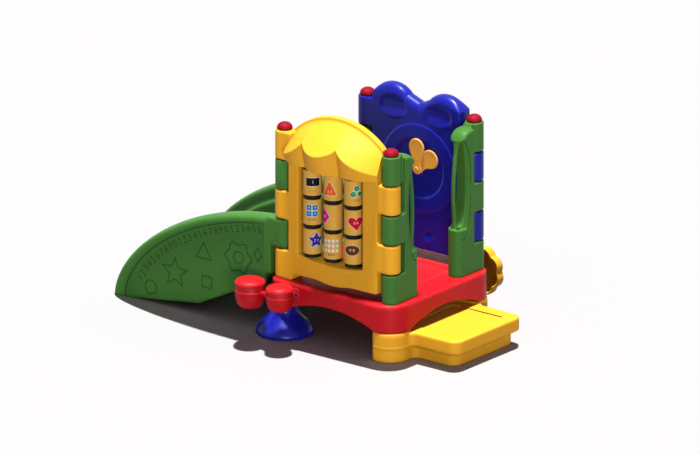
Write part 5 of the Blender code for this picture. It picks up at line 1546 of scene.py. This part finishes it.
def makeWheel():
    s = wheelShape
    low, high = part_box("flower_wheel")
    low, high = low - origin, high - origin
    axleLow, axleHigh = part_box("wheel_axle")
    x = (axleLow.x + axleHigh.x) / 2 - origin.x
    z = (axleLow.z + axleHigh.z) / 2 - origin.z
    back, face = low.y, high.y
    r = s["radius"]
    floor, edge, wall = face - s["face"], s["edge"], s["wall"]
    bore, hub = r - s["bore"], r - s["hub"]
    steps = [  # (place along the axle, inset from the outline, roundness), from the back's bore to the face
        (back + 0.0015, bore, 1), (back + 0.002, hub + 0.001, 1), (back + 0.003, hub, 1),
        (floor - 0.003, hub, 1), (floor, hub - 0.004, 1), (floor, 0.040, 0.5), (floor, wall + 0.005, 0),
        (floor - 0.004, wall + 0.001, 0), (back + 0.014, wall, 0), (back + 0.004, wall - 0.001, 0),
        (back + 0.001, wall - 0.004, 0), (back, wall - 0.006, 0), (back + 0.0003, 0.004, 0),
        (back + 0.0025, 0.001, 0), (back + 0.006, 0, 0), (face - edge, 0, 0),
    ]
    for n in range(1, 7):
        angle = math.radians(15 * n)
        steps.append((face - edge + edge * math.sin(angle), edge * (1 - math.cos(angle)), 0))
    steps += [(face - 0.0002, 0.030, 0.3), (face - 0.003, 0.038, 0.4), (face - 0.003, r - 0.040, 0.9),
              (face, r - 0.034, 1), (face, bore, 1)]
    rings = [[Vector((x + p.x, along, z + p.y)) for p in wheelRing(inset, roundness)]
             for along, inset, roundness in steps]
    bm = bmesh.new()
    addRings(bm, rings + [rings[0]], closed=False)
    bmesh.ops.remove_doubles(bm, verts=bm.verts, dist=1e-6)
    wheel = meshObject("flowerWheel", bm, angle=45)
    dress(wheel, "yellow")
    settle(wheel, "wheel_body", "yellow", "flower_wheel")
    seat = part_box("wheel_cap")[0].y - origin.y
    stem, radius, capEdge = seat + s["capStem"], s["capRadius"], s["capEdge"]
    profile = [(0, stem), (s["bore"], stem), (s["bore"], seat), (radius - capEdge, seat),
               (radius, seat + capEdge)]
    for step in range(1, 11):
        angle = math.radians(9 * step)
        profile.append((radius * math.cos(angle) if step < 10 else 0,
                        seat + capEdge + (s["capHeight"] - capEdge) * math.sin(angle)))
    bm = bmesh.new()
    addLathe(bm, profile, 40, "Y", centre=(x, 0, z))
    cap = meshObject("wheelCap", bm, angle=50)
    dress(cap, "red")
    settle(cap, "frame", "red", "wheel_cap")


makeDeck()
makeStep()
makeFeet()
makeCapsAndCollars()
makeNumberPanel()
makeBarrels()
makeDiscs()
makeClockPanel()
makeHands()
makeEntryPanels()
makeSlide()
makeBongos()
makeWheel()

keptNodes = {  # these stay as the CAD has them
    "post_": "steel", "barrel_rod": "steel", "bongo_bolt": "steel", "wheel_axle": "steel",
    "wheel_spacer": "steel", "clock_pin": "orange",
}
for nodeName, node in frame["nodes"].items():
    for beginning, finishName in keptNodes.items():
        if nodeName.startswith(beginning):
            for slot in node.material_slots:
                slot.material = finishes[finishName]
print("finishes set")

stageShape = {
    "floorSize": 40.0, "floorColour": (0.88, 0.88, 0.88, 1), "bounceColour": (0.30, 0.29, 0.29, 1),
    "sky": 0.11, "skyColour": (1.0, 0.80, 0.92, 1),
    "unfilled": ("flowerWheel",),  # stands in the shade of the panels
    "lowPieces": ("deck", "step", "foot", "bongo", "slide", "flower", "wheel"),  # only these shade the floor
}
lampShape = {  # strength, width in degrees, the way the light goes, and whether it lights only the floor
    "floorLight": (3.5, 2.0, (0.25, -0.36, -1.0), True),
    "topLight": (6.3, 6.0, (-0.02, 0.07, -0.98), False),
    "fillLight": (2.15, 20.0, (-0.70, 0.71, -0.02), False),
}


def addLamp(name, strength, width, way, onFloor, floor):
    lamp = bpy.data.lights.new(name, "SUN")
    lamp.energy = strength
    lamp.angle = math.radians(width)
    item = bpy.data.objects.new(name, lamp)
    item.rotation_euler = Vector(way).to_track_quat("-Z", "Y").to_euler()
    item.location = (0, 0, 4)
    bpy.context.scene.collection.objects.link(item)
    linked = bpy.data.collections.new(name + "Linked")
    linked.objects.link(floor)
    if name == "fillLight":
        for piece in bpy.context.scene.objects:
            if piece.name in stageShape["unfilled"]:
                linked.objects.link(piece)
    for entry in linked.collection_objects:
        entry.light_linking.link_state = "INCLUDE" if onFloor else "EXCLUDE"
    item.light_linking.receiver_collection = linked
    if onFloor:  # tall pieces leave no shadow on the floor
        shading = bpy.data.collections.new(name + "Shading")
        for piece in bpy.context.scene.objects:
            if piece.type == "MESH" and not piece.name.lower().startswith(stageShape["lowPieces"]):
                shading.objects.link(piece)
        for entry in shading.collection_objects:
            entry.light_linking.link_state = "EXCLUDE"
        item.light_linking.blocker_collection = shading


def seenRays(tree):  # 1 on the rays that show the background: camera, glossy and transmission rays
    path = tree.nodes.new("ShaderNodeLightPath")
    seen = path.outputs["Is Camera Ray"]
    for ray in ("Is Glossy Ray", "Is Transmission Ray"):
        larger = tree.nodes.new("ShaderNodeMath")
        larger.operation = "MAXIMUM"
        tree.links.new(seen, larger.inputs[0])
        tree.links.new(path.outputs[ray], larger.inputs[1])
        seen = larger.outputs[0]
    return seen


def makeStage():  # the floor, the lamps and the world
    s = stageShape
    bm = bmesh.new()
    h = s["floorSize"] / 2
    bm.faces.new([bm.verts.new(p) for p in ((-h, -h, 0), (h, -h, 0), (h, h, 0), (-h, h, 0))])
    floor = meshObject("floor", bm, smooth=False)
    material = bpy.data.materials.new("paleFloor")
    material.use_nodes = True
    tree = material.node_tree
    shader = tree.nodes["Principled BSDF"]
    shader.inputs["Roughness"].default_value = 0.9
    shader.inputs["Specular IOR Level"].default_value = 0.0
    pick = tree.nodes.new("ShaderNodeMix")  # the floor throws less light back than the camera sees of it
    pick.data_type = "RGBA"
    pick.inputs[6].default_value = s["bounceColour"]
    pick.inputs[7].default_value = s["floorColour"]
    tree.links.new(seenRays(tree), pick.inputs[0])
    tree.links.new(pick.outputs[2], shader.inputs["Base Color"])
    floor.data.materials.append(material)
    for name, values in lampShape.items():
        addLamp(name, *values, floor)
    world = bpy.data.worlds.new("studio")
    world.use_nodes = True
    nodes, links = world.node_tree.nodes, world.node_tree.links
    sky = nodes["Background"]
    sky.inputs["Color"].default_value = s["skyColour"]
    sky.inputs["Strength"].default_value = s["sky"]
    seen = nodes.new("ShaderNodeBackground")
    seen.inputs["Color"].default_value = (1, 1, 1, 1)
    mix = nodes.new("ShaderNodeMixShader")
    links.new(seenRays(world.node_tree), mix.inputs[0])
    links.new(sky.outputs[0], mix.inputs[1])
    links.new(seen.outputs[0], mix.inputs[2])
    links.new(mix.outputs[0], nodes["World Output"].inputs["Surface"])
    bpy.context.scene.world = world


cameraShape = {  # the shift is in the photo's pixels, from the middle of the deck
    "right": (0.7885, 0.6150, 0), "view": (-0.5815, 0.7455, -0.326), "up": (-0.2005, 0.2570, 0.9454),
    "width": 3.556, "pixel": 0.00508, "shift": (-29.5, 44.6), "distance": 6, "clip": 60,
}


def makeCamera():
    s = cameraShape
    right, view, up = (Vector(s[key]).normalized() for key in ("right", "view", "up"))
    lens = bpy.data.cameras.new("camera")
    lens.type = "ORTHO"
    lens.ortho_scale = s["width"]
    lens.clip_end = s["clip"]
    camera = bpy.data.objects.new("camera", lens)
    across, above = s["shift"]
    target = origin + right * (across * s["pixel"]) + up * (above * s["pixel"])
    camera.location = target - view * s["distance"]
    camera.rotation_euler = view.to_track_quat("-Z", "Y").to_euler()
    bpy.context.scene.collection.objects.link(camera)
    bpy.context.scene.camera = camera


makeStage()
makeCamera()
bpy.context.scene.view_settings.view_transform = "Standard"
print("stage set")
